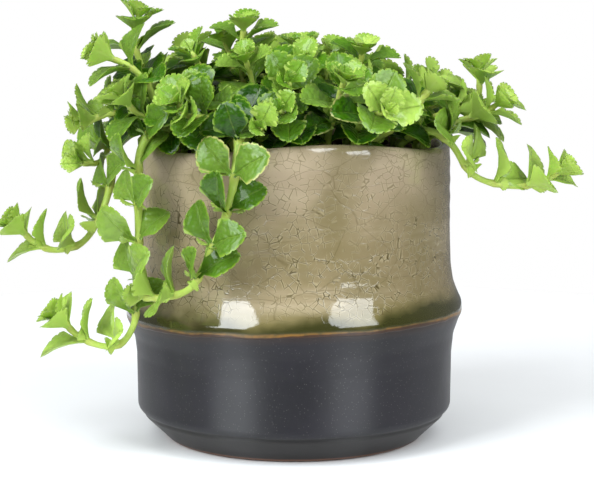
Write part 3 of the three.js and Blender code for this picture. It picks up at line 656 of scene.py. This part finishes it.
# %% Sizes of the leaves
INTERNODE, TRAILING_INTERNODE, BARE_SAMPLES = 9, 12, 8
LEAF_LENGTH, LEAF_WIDTH, LEAF_THICKNESS = 16.5, 12.8, 1.3
STALK_HALF, WIDEST = 0.09, 0.6
BUD_SIZE, SIZE_GAIN = 0.62, 0.19
BUD_OPENING, OPENING_GAIN, FULL_OPENING = 34, 17, 80
SIZE_JITTER, OPENING_JITTER, TURN_JITTER = 0.2, 12, 20
LIGHT_LEAN = 0.65
LEAF_CLEARANCE, OWN_LEAF_GAP, STEM_CLEARANCE, POT_CLEARANCE = 2.3, 1.8, 2.4, 1.1
TRIES = [(0, 0), (20, 0), (-20, 0), (0, -18), (0, 16), (38, 0), (-38, 0)]
MIDDLE_SAMPLE = 8
UP = np.array([0, 0, 1.0])


# %% Shape of a blade
def blade_half(u):
    """Half-width at a share u of the length: a sine from the stalk to the widest place, then an ellipse."""
    wedge = STALK_HALF + (1 - STALK_HALF) * np.sin(np.pi / 2 * np.minimum(u, WIDEST) / WIDEST) ** 1.7
    round_end = np.sqrt(np.clip(1 - ((u - WIDEST) / (1 - WIDEST)) ** 2, 0, 1))
    return np.where(u < WIDEST, wedge, round_end)


def blade_points(leaf, u, across, lift, fold=0.0):
    """Points of a blade. u runs from stem to end, across from edge to edge in half-widths, lift off the face.

    The blade follows a circular arc of the leaf's bend, so its length along is L sin(bend u) / bend and its
    drop L (1 - cos(bend u)) / bend. Across, it rises by a parabola (the cup) and by a straight V (the fold).
    """
    turn = leaf["bend"] * u
    along = leaf["length"] * np.sin(turn) / leaf["bend"] + lift * np.sin(turn)
    half = leaf["width"] / 2 * across
    rise = leaf["cup"] * half * across + fold * np.abs(half) + lift * np.cos(turn)
    rise = rise - leaf["length"] * (1 - np.cos(turn)) / leaf["bend"]
    return (leaf["root"] + along[..., None] * leaf["direction"] + rise[..., None] * leaf["face"]
            + half[..., None] * leaf["side"])


def blade_samples(leaf):
    """Where a blade is tested for room: its end, and four rows of five points."""
    u, v = np.meshgrid([0.35, 0.55, 0.75, 0.93], [-1, -0.5, 0, 0.5, 1], indexing="ij")
    u, v = np.append([1], u.ravel()), np.append([0], v.ravel())
    return blade_points(leaf, u, v * blade_half(u), np.zeros_like(u))


# %% One leaf on its stem
def leaf_at(shoot, sample, rank, around, size, opening, wobble):
    """One leaf at a sample of its stem; rank counts pairs from the tip.

    It points opening degrees off the stem, and then leans to the light, more with each pair and most where
    the stem runs level. Its face is the stem's direction mixed with the light. Older leaves bend back more
    and are flatter across.
    """
    stem = shoot["ahead"][sample]
    outwards = turn_about(shoot["aside"][sample], stem, around)
    root = shoot["places"][sample]
    light = LIGHT_LEAN * unit(root * [1, 1, 0]) + UP
    direction = stem * math.cos(math.radians(opening)) + outwards * math.sin(math.radians(opening))
    direction = unit(direction + light * (min(0.35, 0.12 * rank) + 0.8 * min(1, max(0, 1 - stem[2]))))
    face = 0.7 * stem + (0.8 if rank > 1 else 0.15) * light
    face = unit(face - (face @ direction) * direction)
    return {"root": root, "direction": direction, "face": face, "side": np.cross(direction, face),
            "length": LEAF_LENGTH * size, "width": LEAF_WIDTH * size,
            "bend": 0.35 + 0.25 * min(rank, 3) + 0.3 * wobble, "cup": 0.28 if rank < 2 else 0.12,
            "rank": rank, "shoot": shoot["name"], "wobble": wobble}


# %% Room for a leaf
NEAR_STEM, NEAR_LEAF = 16, 20  # mm from a blade's middle: what is farther away can't touch it
placed = []


def has_room(leaf, ease=1.0):
    """Whether a blade's samples keep their distance from pot, stems and blades. ease shrinks distances."""
    samples = leaf["samples"]
    middle = samples[MIDDLE_SAMPLE]
    if not pot_leaves_room(samples, POT_CLEARANCE * ease).all():
        return False
    for other in shoots:
        if other["name"] == leaf["shoot"]:
            continue
        near = other["places"][np.linalg.norm(other["places"] - middle, axis=1) < NEAR_STEM]
        if len(near) and gaps(samples, near).min() < STEM_CLEARANCE * ease:
            return False
    for other in placed:
        if np.linalg.norm(other["samples"][MIDDLE_SAMPLE] - middle) < NEAR_LEAF:
            gap = OWN_LEAF_GAP if other["shoot"] == leaf["shoot"] else LEAF_CLEARANCE
            if gaps(samples, other["samples"]).min() < gap * ease:
                return False
    return True


def settle(shoot, tries, ease, *place):
    """Adds the first of the tries that has room, and says whether one had."""
    sample, rank, around, size, opening, wobble = place
    for turned, change in tries:
        leaf = leaf_at(shoot, sample, rank, around + turned, size, opening + change, wobble)
        leaf["samples"] = blade_samples(leaf)
        if has_room(leaf, ease):
            shoot["leaves"].append(leaf)
            placed.append(leaf)
            return True
    return False


# %% Grow the leaves
missed = []
for shoot in shoots:
    sample, rank, shoot["joints"] = shoot["count"] - 1, 0, []
    internode = TRAILING_INTERNODE if shoot["places"][-1][2] < RIM_HEIGHT else INTERNODE
    while sample > BARE_SAMPLES:
        shoot["joints"].append((sample, rank))
        for half in (0, 180):
            size = min(1, BUD_SIZE + SIZE_GAIN * rank) * (0.9 + SIZE_JITTER * draw())
            opening = min(FULL_OPENING, BUD_OPENING + OPENING_GAIN * rank) + OPENING_JITTER * (draw() - 0.5)
            around = shoot["phase"] + half + 90 * rank + TURN_JITTER * (draw() - 0.5)
            place = (sample, rank, around, size, opening, draw())
            if not settle(shoot, TRIES, 1.0, *place):
                missed.append((shoot, place))
        sample -= max(1, math.floor(internode / ROUTE_STEP * min(1, 0.3 + 0.3 * rank) + 0.5))
        rank += 1
print("leaves of the frame's rule:", len(placed), "without room:", len(missed))

# %% [markdown]
# ## Leaves that only the eye needs
#
# The frame keeps its leaves well apart, so that the solids stay clear of each other. In the photograph they
# press closer. So each leaf that found no room tries again, a little smaller and with half the distance.
# Each bud and joint also gets the tiny leaves that a pilea has there: a closing pair in the bud, with four
# more round it where the shoot shows singly, and a small rosette in the angle between leaf and stem.

# %% Late leaves, bud leaves and rosettes at the joints
EASE, BUD_EASE = 0.5, 0.3  # share of the frame's distances that the extra leaves and bud leaves keep
LATE_SIZES = (0.92, 0.75, 0.58)
BUD_LEAF, TIP_LEAF = 0.36, 0.5  # sizes of the closing pair and a rosette's leaves, and of the four more
BUD_OPEN, TIP_OPEN, ROSETTE_OPEN = 14, 38, 40  # degrees from the stem
TIP_SPREADS, ROSETTE_SPREADS = (45, 135), (-32, 32)  # degrees round the stem
ROSETTE_TRIES = [(0, 0), (12, -8), (-12, 8)]
ROSETTE_CHANCE = {True: 0.9, False: 0.4}  # on a shoot listed one by one, and in the mound
more = np.random.default_rng(29)

for shoot, (sample, rank, around, size, opening, wobble) in missed:
    for share in LATE_SIZES:
        tries = [(turned * 1.5, change) for turned, change in TRIES]
        if settle(shoot, tries, EASE, sample, rank, around, size * share, opening, wobble):
            break
late = len(placed)
for shoot in shoots:
    tip = shoot["count"]
    for half in (0, 180):
        around = shoot["phase"] + half + 90
        settle(shoot, [(0, 0)], BUD_EASE, tip, 0, around, BUD_LEAF, BUD_OPEN, more.random())
        for spread in TIP_SPREADS if shoot["trained"] else ():
            settle(shoot, TRIES, BUD_EASE, tip, 0, around + spread, TIP_LEAF, TIP_OPEN, more.random())
    for sample, rank in shoot["joints"][2:]:
        for half in (0, 180):
            if more.random() > ROSETTE_CHANCE[shoot["trained"]]:
                continue
            around = shoot["phase"] + half + 90 * rank
            size = BUD_LEAF * (0.9 + 0.5 * more.random())
            for spread in ROSETTE_SPREADS:
                settle(shoot, ROSETTE_TRIES, EASE, sample, 0, around + spread, size, ROSETTE_OPEN,
                       more.random())
print("leaves in all:", len(placed), "of which bud and joint leaves:", len(placed) - late)

# %% [markdown]
# ## A blade as a thin shell
#
# Each blade is a fleshy, scalloped spoon with a groove along its middle. It is repeated hundreds of times,
# so it has only a few dozen faces: an outline with nine blunt teeth, a ring halfway in with one point for
# each notch, and the midrib, with the same outline and another midrib for the underside. All leaves of a
# shoot are worked out at once, as arrays of leaf by point.

# %% The outline, the ring and the ribs of a blade
TEETH, TOOTH_STEP = 9, 23  # round the end, and degrees for each, seen from the widest place
TOOTH_TOP = 0.3  # a tooth is flat for this share of a step to each side of its middle
STALK_POINTS = np.array([[0.0, 0.13], [0.2, 0.19], [0.4, 0.66]])  # along, and half-width
RING_SHARE, RIB_END = 0.52, 0.84  # of the way out to the edge, and of the length

stalk_u, stalk_v = STALK_POINTS.T
tooth = np.arange(TEETH)[:, None] - TEETH // 2 + np.array([-TOOTH_TOP, TOOTH_TOP, 0.5])
is_notch = np.tile([0, 0, 1], TEETH)[:-1]
tooth_angle = np.radians(TOOTH_STEP * tooth.ravel()[:-1])
outline_u = np.concatenate([stalk_u, WIDEST + (1 - WIDEST) * np.cos(tooth_angle), stalk_u[::-1]])
outline_v = np.concatenate([-stalk_v, np.sin(tooth_angle), stalk_v[::-1]])
at_notch = np.concatenate([0 * stalk_u, is_notch, 0 * stalk_u])
notch_u = at_notch * (outline_u - WIDEST)
notch_v = at_notch * outline_v
ripple_round = np.concatenate([0 * stalk_u, np.sin(3 * tooth_angle), 0 * stalk_u])

OUTLINE = len(outline_u)
anchors = np.array([0, 1, *np.arange(2, OUTLINE - 2, 3), OUTLINE - 2, OUTLINE - 1])  # stalk and notches
RING = len(anchors)
RIB = RING // 2
rib_of = np.minimum(np.arange(RING), RING - 1 - np.arange(RING))
rib_u = outline_u[anchors[:RIB]] * np.linspace(1, RIB_END, RIB)
ring_u = 0.5 * (outline_u[anchors] + rib_u[rib_of])
ring_v = RING_SHARE * outline_v[anchors]
print("points of the outline, the ring and the rib:", OUTLINE, RING, RIB)

# %% Points and faces of a blade: outline, ring, rib on the face, rib on the underside
RING_LIFT, RIB_LIFT, BACK_LIFT = 0.85, 0.05, -0.6  # off the blade's middle, in thicknesses
leaf_u = np.concatenate([outline_u, ring_u, rib_u, rib_u])
leaf_v = np.concatenate([outline_v, ring_v, np.zeros(2 * RIB)])
leaf_edge = np.repeat([1, RING_SHARE, 0], [OUTLINE, RING, 2 * RIB])
leaf_lift = np.repeat([0, RING_LIFT, RIB_LIFT, BACK_LIFT], [OUTLINE, RING, RIB, RIB])
inside = np.zeros(RING + 2 * RIB)
leaf_notch_u, leaf_notch_v, leaf_wave = (np.append(part, inside) for part in (notch_u, notch_v, ripple_round))

LEAF_POINTS = len(leaf_u)
face_side, under_side = [], []
for j in range(RING - 1):
    edge_run = [*range(anchors[j], anchors[j + 1] + 1)]
    ring_pair = [OUTLINE + j, OUTLINE + j + 1]
    rib_pair = [OUTLINE + RING + rib_of[j], OUTLINE + RING + rib_of[j + 1]]
    face_side.append([*edge_run[::-1], *ring_pair])
    face_side.append([*dict.fromkeys([*ring_pair[::-1], *rib_pair])])
    under_side.append([*dict.fromkeys([*edge_run, rib_pair[1] + RIB, rib_pair[0] + RIB])])
under_side.append([OUTLINE, OUTLINE + RING, OUTLINE + RING - 1, OUTLINE - 1, OUTLINE + RING + RIB, 0])
LEAF_FACES = [[int(corner) for corner in face] for face in [*face_side, *under_side]]
print("points and faces of a blade:", LEAF_POINTS, len(LEAF_FACES))


# %% All blades of a shoot at once
YOUNG_NOTCH, OLD_NOTCH = 0.17, 0.08  # depth of the notches as a share of the way out
YOUNG_SPREAD = 0.12  # share by which the youngest blades are wider
YOUNG_FOLD, OLD_FOLD = 0.07, 0.28  # rise of the V across the blade for each mm from the rib
EDGE_WAVE = 0.22  # mm that the edge ripples
UNBENT = 0.22  # share of its bend that an old blade loses, against the frame's plain one


def age_of(leaves):
    """0 for the youngest pair, 1 from the fourth pair on."""
    return np.clip(np.array([leaf["rank"] for leaf in leaves]) / 3, 0, 1)


def leaf_skins(leaves):
    """Points of every leaf, as an array of leaf by point by axis."""
    column = {key: np.array([leaf[key] for leaf in leaves])[:, None]
              for key in ("root", "direction", "face", "side", "length", "width", "bend", "cup", "wobble")}
    age = age_of(leaves)[:, None]
    column["bend"] = column["bend"] * (1 - UNBENT * age)
    notch = YOUNG_NOTCH + (OLD_NOTCH - YOUNG_NOTCH) * age
    thickness = LEAF_THICKNESS * (0.5 + 0.35 * age) * column["width"] / LEAF_WIDTH
    u = leaf_u - notch * leaf_notch_u
    v = (leaf_v - notch * leaf_notch_v) * (1 + YOUNG_SPREAD * (1 - age))
    ripple = EDGE_WAVE * (2 * column["wobble"] - 1) * leaf_wave * leaf_edge
    fold = YOUNG_FOLD + (OLD_FOLD - YOUNG_FOLD) * age
    return blade_points(column, u, v, thickness * leaf_lift + ripple, fold)


# %% [markdown]
# ## A stem as a tube with swollen joints
#
# The stems are soft, round and a little thicker at each joint. A circle carried along the route, with a
# radius that tapers to the tip and swells in a bell curve at each joint, gives that in one array.

# %% Stem skin
TUBE_SIDES = 9
SWELLING, SWELLING_LENGTH = 0.3, 1.6  # share of the radius, and mm along the stem
STEM_SHARE = 0.93  # of the frame's girth, because the joints swell beyond it


def joint_nearness(shoot):
    """1 at a joint, falling off as a bell curve along the stem."""
    at = np.arange(shoot["count"] + 1)[:, None]
    joints = np.array([sample for sample, rank in shoot["joints"]])[None]
    return np.exp(-(((at - joints) * ROUTE_STEP / SWELLING_LENGTH) ** 2)).max(axis=1)


def stem_skin(shoot):
    """Rings of points round the route, with a small closing ring at the bud."""
    share = np.arange(shoot["count"] + 1) / shoot["count"]
    radius = shoot["girth"] * (1 - STEM_TAPER * share) * STEM_SHARE
    radius *= 1 + SWELLING * joint_nearness(shoot)
    across = np.cross(shoot["ahead"], shoot["aside"])
    turn = 2 * np.pi * np.arange(TUBE_SIDES) / TUBE_SIDES
    ring = shoot["aside"][:, None] * np.cos(turn)[:, None] + across[:, None] * np.sin(turn)[:, None]
    rings = shoot["places"][:, None] + radius[:, None, None] * ring
    bud = shoot["places"][-1] + shoot["ahead"][-1] * 0.9 + 0.35 * radius[-1] * ring[-1]
    return np.concatenate([rings, bud[None]])


# %% [markdown]
# ## The finish of leaves and stems
#
# A pilea leaf is juicy green tissue under a smooth wax skin. Old leaves are deep green and shiny, young
# ones yellow-green, and the underside is always paler and duller. A midrib runs up from the stalk, the skin
# beside it is quilted, and the rim is thin, so light gets in and it looks pale; that light is painted into
# the colour at the rim. Attributes carry what changes from leaf to leaf, age and tint, and how near a point
# is to the edge, or on a stem to a joint. The midrib and the quilting follow the blade's own UV map, so they
# bend with it.

# %% What the three finishes of the plant read
def start_plant_finish(name, grain, **sockets):
    """A finish with the outputs for age, nearness to edge or joint, and a noise for the tissue's grain."""
    finish, tree, shader = start_finish(name, **sockets)
    age, edge = (add(tree, "Attribute", attribute_name=key, output="Fac") for key in ("age", "edge"))
    where = add(tree, "TexCoord", output="Object")
    tissue = add(tree, "TexNoise", {"Vector": where, "Scale": grain, "Detail": 3})
    return finish, tree, shader, age, edge, tissue


# %% Upper side of a blade: colours
leaf_green, tree, shader, age, edge, tissue = start_plant_finish(
    "waxy_leaf_upper_side", 210, IOR=1.4, Specular_IOR_Level=0.24, Coat_Weight=0.35, Coat_Roughness=0.1,
    Subsurface_Weight=0.15, Subsurface_Radius=(0.9, 1.6, 0.3), Subsurface_Scale=1.0 * MM)
tint = add(tree, "Attribute", attribute_name="tint", output="Fac")
blade_map = add(tree, "UVMap", uv_map="blade")
across = add(tree, "SeparateXYZ", {0: blade_map}, output=1)
from_rib = add(tree, "Math", {0: across, 1: 0.5}, operation="SUBTRACT")
from_rib = add(tree, "Math", {0: from_rib}, operation="ABSOLUTE")
rib_line = add(tree, "MapRange", {0: from_rib, 1: 0.035, 2: 0.0, 4: 0.25}, **SOFT)
patchiness = add(tree, "MapRange", {0: tissue, 1: 0.35, 2: 0.7, 4: 0.3}, **SOFT)
creamy = add(tree, "MapRange", {0: tint, 1: 0.91, 2: 0.94}, **SOFT)
# Painted light: the thin rim is painted paler, as light shining through it; a tint of 1 gives a cream margin.
rim_light_and_margin_share = add(tree, "MapRange", {0: edge, 1: 0.86, 2: 1.0, 4: 0.5}, **SOFT)

old_green = add(tree, "Mix", {0: tint, 6: paint("#143701"), 7: paint("#2f5a03")}, **COLOURS)
green = add(tree, "Mix", {0: tint, 6: paint("#487706"), 7: paint("#acc75b")}, **COLOURS)
painted_rim_light_and_cream_margin = add(tree, "Mix", {0: creamy, 6: paint("#7f9f2c"), 7: paint("#cfc67c")}, **COLOURS)
leaf_layers = [(age, old_green), (patchiness, paint("#447005")), (rib_line, paint("#86a83a")),
               (rim_light_and_margin_share, painted_rim_light_and_cream_margin)]
for share, colour in leaf_layers:
    green = add(tree, "Mix", {0: share, 6: green, 7: colour}, **COLOURS)
tree.links.new(green, shader.inputs["Base Color"])

# %% Upper side of a blade: sunken rib, quilting and gloss
QUILT_ALONG, QUILT_ACROSS = 9, 7  # quilting cells along and across a blade: about 1.8 mm each
SKIN_RELIEF = 0.65 * MM

quilt_map = add(tree, "Mapping", {0: blade_map, 3: (QUILT_ALONG, QUILT_ACROSS, 1)})
quilt = add(tree, "TexVoronoi", {"Vector": quilt_map, "Scale": 1.0}, feature="F1")
quilting = add(tree, "MapRange", {0: age, 3: 0.35, 4: 1.0})
quilt = add(tree, "Math", {0: quilt, 1: quilting}, operation="MULTIPLY")
sunken = add(tree, "Math", {0: rib_line, 1: 2.0, 2: quilt}, operation="MULTIPLY_ADD")
add(tree, "Bump", {"Height": sunken, "Strength": 0.9, "Distance": SKIN_RELIEF}, feeds=shader.inputs["Normal"],
    invert=True)
add(tree, "MapRange", {0: tissue, 1: 0.3, 2: 0.7, 3: 0.24, 4: 0.38}, feeds=shader.inputs["Roughness"])

# %% Underside: paler and duller, with a light midrib
leaf_back, tree, shader, age, edge, tissue = start_plant_finish(
    "pale_leaf_underside", 300, IOR=1.4, Specular_IOR_Level=0.3, Subsurface_Weight=0.2,
    Subsurface_Radius=(0.9, 1.6, 0.3), Subsurface_Scale=1.2 * MM)
back = add(tree, "Mix", {0: age, 6: paint("#a3bf56"), 7: paint("#648827")}, **COLOURS)
mottle = add(tree, "MapRange", {0: tissue, 1: 0.4, 2: 0.65, 4: 0.3}, **SOFT)
back = add(tree, "Mix", {0: mottle, 6: back, 7: paint("#a6c05e")}, **COLOURS)
rib_line = add(tree, "MapRange", {0: edge, 1: 0.14, 2: 0.02, 4: 0.5}, **SOFT)
add(tree, "Mix", {0: rib_line, 6: back, 7: paint("#a9c163")}, feeds=shader.inputs["Base Color"], **COLOURS)
add(tree, "MapRange", {0: tissue, 3: 0.42, 4: 0.56}, feeds=shader.inputs["Roughness"])
add(tree, "Bump", {"Height": tissue, "Strength": 0.4, "Distance": 0.1 * MM}, feeds=shader.inputs["Normal"])

# %% Stems: juicy and pale, browner at the joints, greener by the soil
juicy_stem, tree, shader, age, joint, fibres = start_plant_finish(
    "juicy_stem", 380, IOR=1.42, Specular_IOR_Level=0.35, Subsurface_Weight=0.25,
    Subsurface_Radius=(1.2, 1.6, 0.4), Subsurface_Scale=1.4 * MM)
skin = add(tree, "Mix", {0: age, 6: paint("#abc259"), 7: paint("#87a13e")}, **COLOURS)
mottle = add(tree, "MapRange", {0: fibres, 1: 0.4, 2: 0.7, 4: 0.4}, **SOFT)
skin = add(tree, "Mix", {0: mottle, 6: skin, 7: paint("#b9cc70")}, **COLOURS)
browner = add(tree, "Math", {0: joint, 1: 0.35}, operation="MULTIPLY")
add(tree, "Mix", {0: browner, 6: skin, 7: paint("#93883c")}, feeds=shader.inputs["Base Color"], **COLOURS)
add(tree, "MapRange", {0: fibres, 3: 0.3, 4: 0.46}, feeds=shader.inputs["Roughness"])
add(tree, "Bump", {"Height": fibres, "Strength": 0.3, "Distance": 0.12 * MM}, feeds=shader.inputs["Normal"])
print("finishes of the plant:", leaf_green.name, leaf_back.name, juicy_stem.name)

# %% [markdown]
# ## One piece for each shoot
#
# A shoot grew as one thing, so its stem and leaves are one piece, as in the frame. The mesh takes three
# finishes: stem, upper side and underside. The blade map holds the way along and across a leaf, and on a
# stem the way along and round it. The leaves past the rim, a little more so on the right, and those high up
# are made the palest. A mark on the edges round each blade keeps its shading crisp there.

# %% How pale and how old each leaf looks
PALE_LEFT, PALE_RIGHT, PALE_REACH = 59, 52, 12  # mm from the axis where paleness begins, and to its full
LEFT_PALENESS = 0.95  # most of it on the left, where 1 is most on the right
HIGH_START, HIGH_REACH, HIGH_PALENESS = 122, 22, 0.25  # mm over the floor, mm, and what height adds
TINT_MEAN, TINT_SPREAD, TINT_LIMIT, PALEST = 0.25, 0.2, 0.85, 0.9
CREAM_RIMMED = 0.06  # share of the old leaves with a cream rim, which a tint of 1 stands for
tints = np.random.default_rng(5)


def paleness_of(leaves):
    """A ramp over the distance from the axis, plus a little of a ramp over the height: 0 to 1."""
    x, y, z = np.array([leaf["root"] for leaf in leaves]).T
    past_rim = np.clip((np.hypot(x, y) - np.where(x < 0, PALE_LEFT, PALE_RIGHT)) / PALE_REACH, 0, 1)
    past_rim = past_rim * np.where(x < 0, LEFT_PALENESS, 1)
    return np.minimum(1, past_rim + HIGH_PALENESS * np.clip((z - HIGH_START) / HIGH_REACH, 0, 1))


def looks_of(leaves):
    """Age and tint of each leaf: seeded draws round a mean, both moved towards young and pale by paleness."""
    tint = np.clip(tints.normal(TINT_MEAN, TINT_SPREAD, len(leaves)), 0, TINT_LIMIT)
    paleness = paleness_of(leaves)
    tint = np.maximum(tint, np.minimum(PALEST, tint + 0.75 * paleness))
    age = age_of(leaves) * (1 - 0.95 * paleness)
    tint[(tints.random(len(leaves)) < CREAM_RIMMED) & (age > 0.6)] = 1
    return age, tint


# %% Attributes, map and crisp edges of a shoot
def describe_skin(piece, shoot, rings):
    """Writes age, tint, nearness to edge or joint, and the blade map, and marks blade outlines as sharp."""
    count = len(shoot["leaves"])
    up_stem = np.linspace(0, 1, rings)
    age, tint = looks_of(shoot["leaves"])
    layers = {
        "age": (1 - up_stem, np.repeat(age, LEAF_POINTS)),
        "tint": (0 * up_stem, np.repeat(tint, LEAF_POINTS)),
        "edge": (np.append(joint_nearness(shoot), 0), np.tile(leaf_edge, count)),
    }
    for key, (on_rings, on_blades) in layers.items():
        values = np.concatenate([np.repeat(on_rings, TUBE_SIDES), on_blades])
        layer = piece.data.attributes.new(key, "FLOAT", "POINT")
        layer.data.foreach_set("value", values.astype(np.float32))
    stem_uv = np.stack([np.repeat(up_stem, TUBE_SIDES), np.tile(np.arange(TUBE_SIDES) / TUBE_SIDES, rings)])
    leaf_uv = np.tile(np.stack([leaf_u, 0.5 + 0.5 * leaf_v]), count)
    corner_of = np.empty(len(piece.data.loops), np.int32)
    piece.data.loops.foreach_get("vertex_index", corner_of)
    blade_uv = piece.data.uv_layers.new(name="blade")
    blade_uv.data.foreach_set("uv", np.concatenate([stem_uv, leaf_uv], axis=1).T[corner_of].ravel())
    ends = np.empty(2 * len(piece.data.edges), np.int32)
    piece.data.edges.foreach_get("vertices", ends)
    ends -= rings * TUBE_SIDES
    on_outline = (ends >= 0) & (ends % LEAF_POINTS < OUTLINE)
    piece.data.edges.foreach_set("use_edge_sharp", on_outline.reshape(-1, 2).all(axis=1))


# %% Build the shoots
upper_or_under = [1] * len(face_side) + [2] * len(under_side)
worst = 0.0
for shoot in shoots:
    tube = stem_skin(shoot)
    points = np.concatenate([tube.reshape(-1, 3), leaf_skins(shoot["leaves"]).reshape(-1, 3)])
    stem_faces = skin_faces(len(tube), TUBE_SIDES)
    starts = range(len(tube) * TUBE_SIDES, len(points), LEAF_POINTS)
    faces = stem_faces + [[start + corner for corner in face] for start in starts for face in LEAF_FACES]
    finish_of_face = [0] * len(stem_faces) + upper_or_under * len(starts)
    piece = make_piece("leafy_shoot_" + shoot["name"], points, faces, [juicy_stem, leaf_green, leaf_back],
                       finish_of_face)
    describe_skin(piece, shoot, len(tube))
    node = "shoot_" + shoot["name"]
    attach(piece, "root")
    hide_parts(node)
    low, high = (np.array(corner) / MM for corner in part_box(node))
    worst = max(worst, float(np.abs([points.min(axis=0) - low, points.max(axis=0) - high]).max()))
print("shoot pieces:", len(shoots), "largest difference from a frame node's box in mm:", round(worst, 2))

# %% [markdown]
# ## Studio light and floor
#
# The photograph was taken in a white studio. Light comes from everywhere, and two tall softboxes stand to
# the left and right of the camera. Their crisp reflections show on the belt and, blurred, on the satin
# body. Two area lamps give these. Two wide lamps, overhead and in front, bring out the leaves, and aren't
# mirrored, because they would lay a grey haze on every leaf that faces them. The world adds the rest: white
# to the camera, an even pale light for the surfaces, and dim in reflections, as a room is beside its lamps.
# The floor is a plain matt white disc, and the white room beyond it looks the same.

# %% Lamps
LAMP_COLOUR = (0.91, 0.96, 1)  # daylight, a little cooler than the glaze
BELT = np.array([0, 0, 50 * MM])
# Name, degrees from the camera's side, degrees above level, distance and size in metres, power in watts, and
# whether the glazes mirror it.
LAMPS = [
    ("softbox_right", 43, 34, 1.15, (0.58, 1.05), 12, True),
    ("softbox_left", -45, 34, 1.15, (0.58, 1.05), 17.5, True),
    ("softbox_top", 0, 88, 1.2, (1.2, 1.2), 4.5, False),
    ("softbox_front", -12, 24, 1.4, (1.0, 1.0), 3.5, False),
]
for name, azimuth, rise, distance, size, power, mirrored in LAMPS:
    lamp = bpy.data.lights.new(name, "AREA")
    lamp.shape = "RECTANGLE"
    lamp.size, lamp.size_y = size
    lamp.energy = power
    lamp.color = LAMP_COLOUR
    holder = bpy.data.objects.new(name, lamp)
    bpy.context.scene.collection.objects.link(holder)
    a, e = math.radians(azimuth), math.radians(rise)
    towards = np.array([math.sin(a) * math.cos(e), -math.cos(a) * math.cos(e), math.sin(e)])
    holder.location = BELT + distance * towards
    holder.rotation_euler = (math.pi / 2 - e, 0, a)
    holder.visible_camera = False
    holder.visible_glossy = mirrored
print("lamps:", len(LAMPS))

# %% The white room
ROOM_LIGHT = 0.43  # what the room adds from every side
MIRRORED_BACK, MIRRORED_FRONT = 0.2, 0.04  # how bright it looks in the glaze, behind the pot and in front

world = bpy.data.worlds.new("white_studio")
world.use_nodes = True
tree = world.node_tree
sky_way = add(tree, "SeparateXYZ", {0: add(tree, "TexCoord", output="Generated")}, output=1)
mirrored = add(tree, "MapRange", {0: sky_way, 1: -0.5, 2: 0.6, 3: MIRRORED_FRONT, 4: MIRRORED_BACK}, **SOFT)
rays = add(tree, "LightPath").node.outputs
room = add(tree, "Mix", {0: rays["Is Glossy Ray"], 2: ROOM_LIGHT, 3: mirrored})
background = tree.nodes["Background"]
add(tree, "Mix", {0: rays["Is Camera Ray"], 2: room, 3: 1.0}, feeds=background.inputs["Strength"])
background.inputs["Color"].default_value = (1, 1, 1, 1)
bpy.context.scene.world = world
bpy.context.scene.view_settings.view_transform = "Standard"
bpy.context.scene.view_settings.look = "None"

# %% Floor
FLOOR_RADIUS = 320  # mm
FLOOR_SIDES = 96

paper, tree, shader = start_finish("matt_white_studio_floor", Roughness=0.9, Specular_IOR_Level=0.1)
where = add(tree, "TexCoord", output="Object")
fleck = add(tree, "TexNoise", {"Vector": where, "Scale": 40, "Detail": 2})
floor_paint = {0: fleck, 6: paint("#e8e8e8"), 7: paint("#ebebeb")}
add(tree, "Mix", floor_paint, feeds=shader.inputs["Base Color"], **COLOURS)
turn = 2 * np.pi * np.arange(FLOOR_SIDES) / FLOOR_SIDES
floor_points = FLOOR_RADIUS * np.stack([np.cos(turn), np.sin(turn), 0 * turn], axis=1)
floor = make_piece("studio_floor", floor_points, [[*range(FLOOR_SIDES)]], [paper])
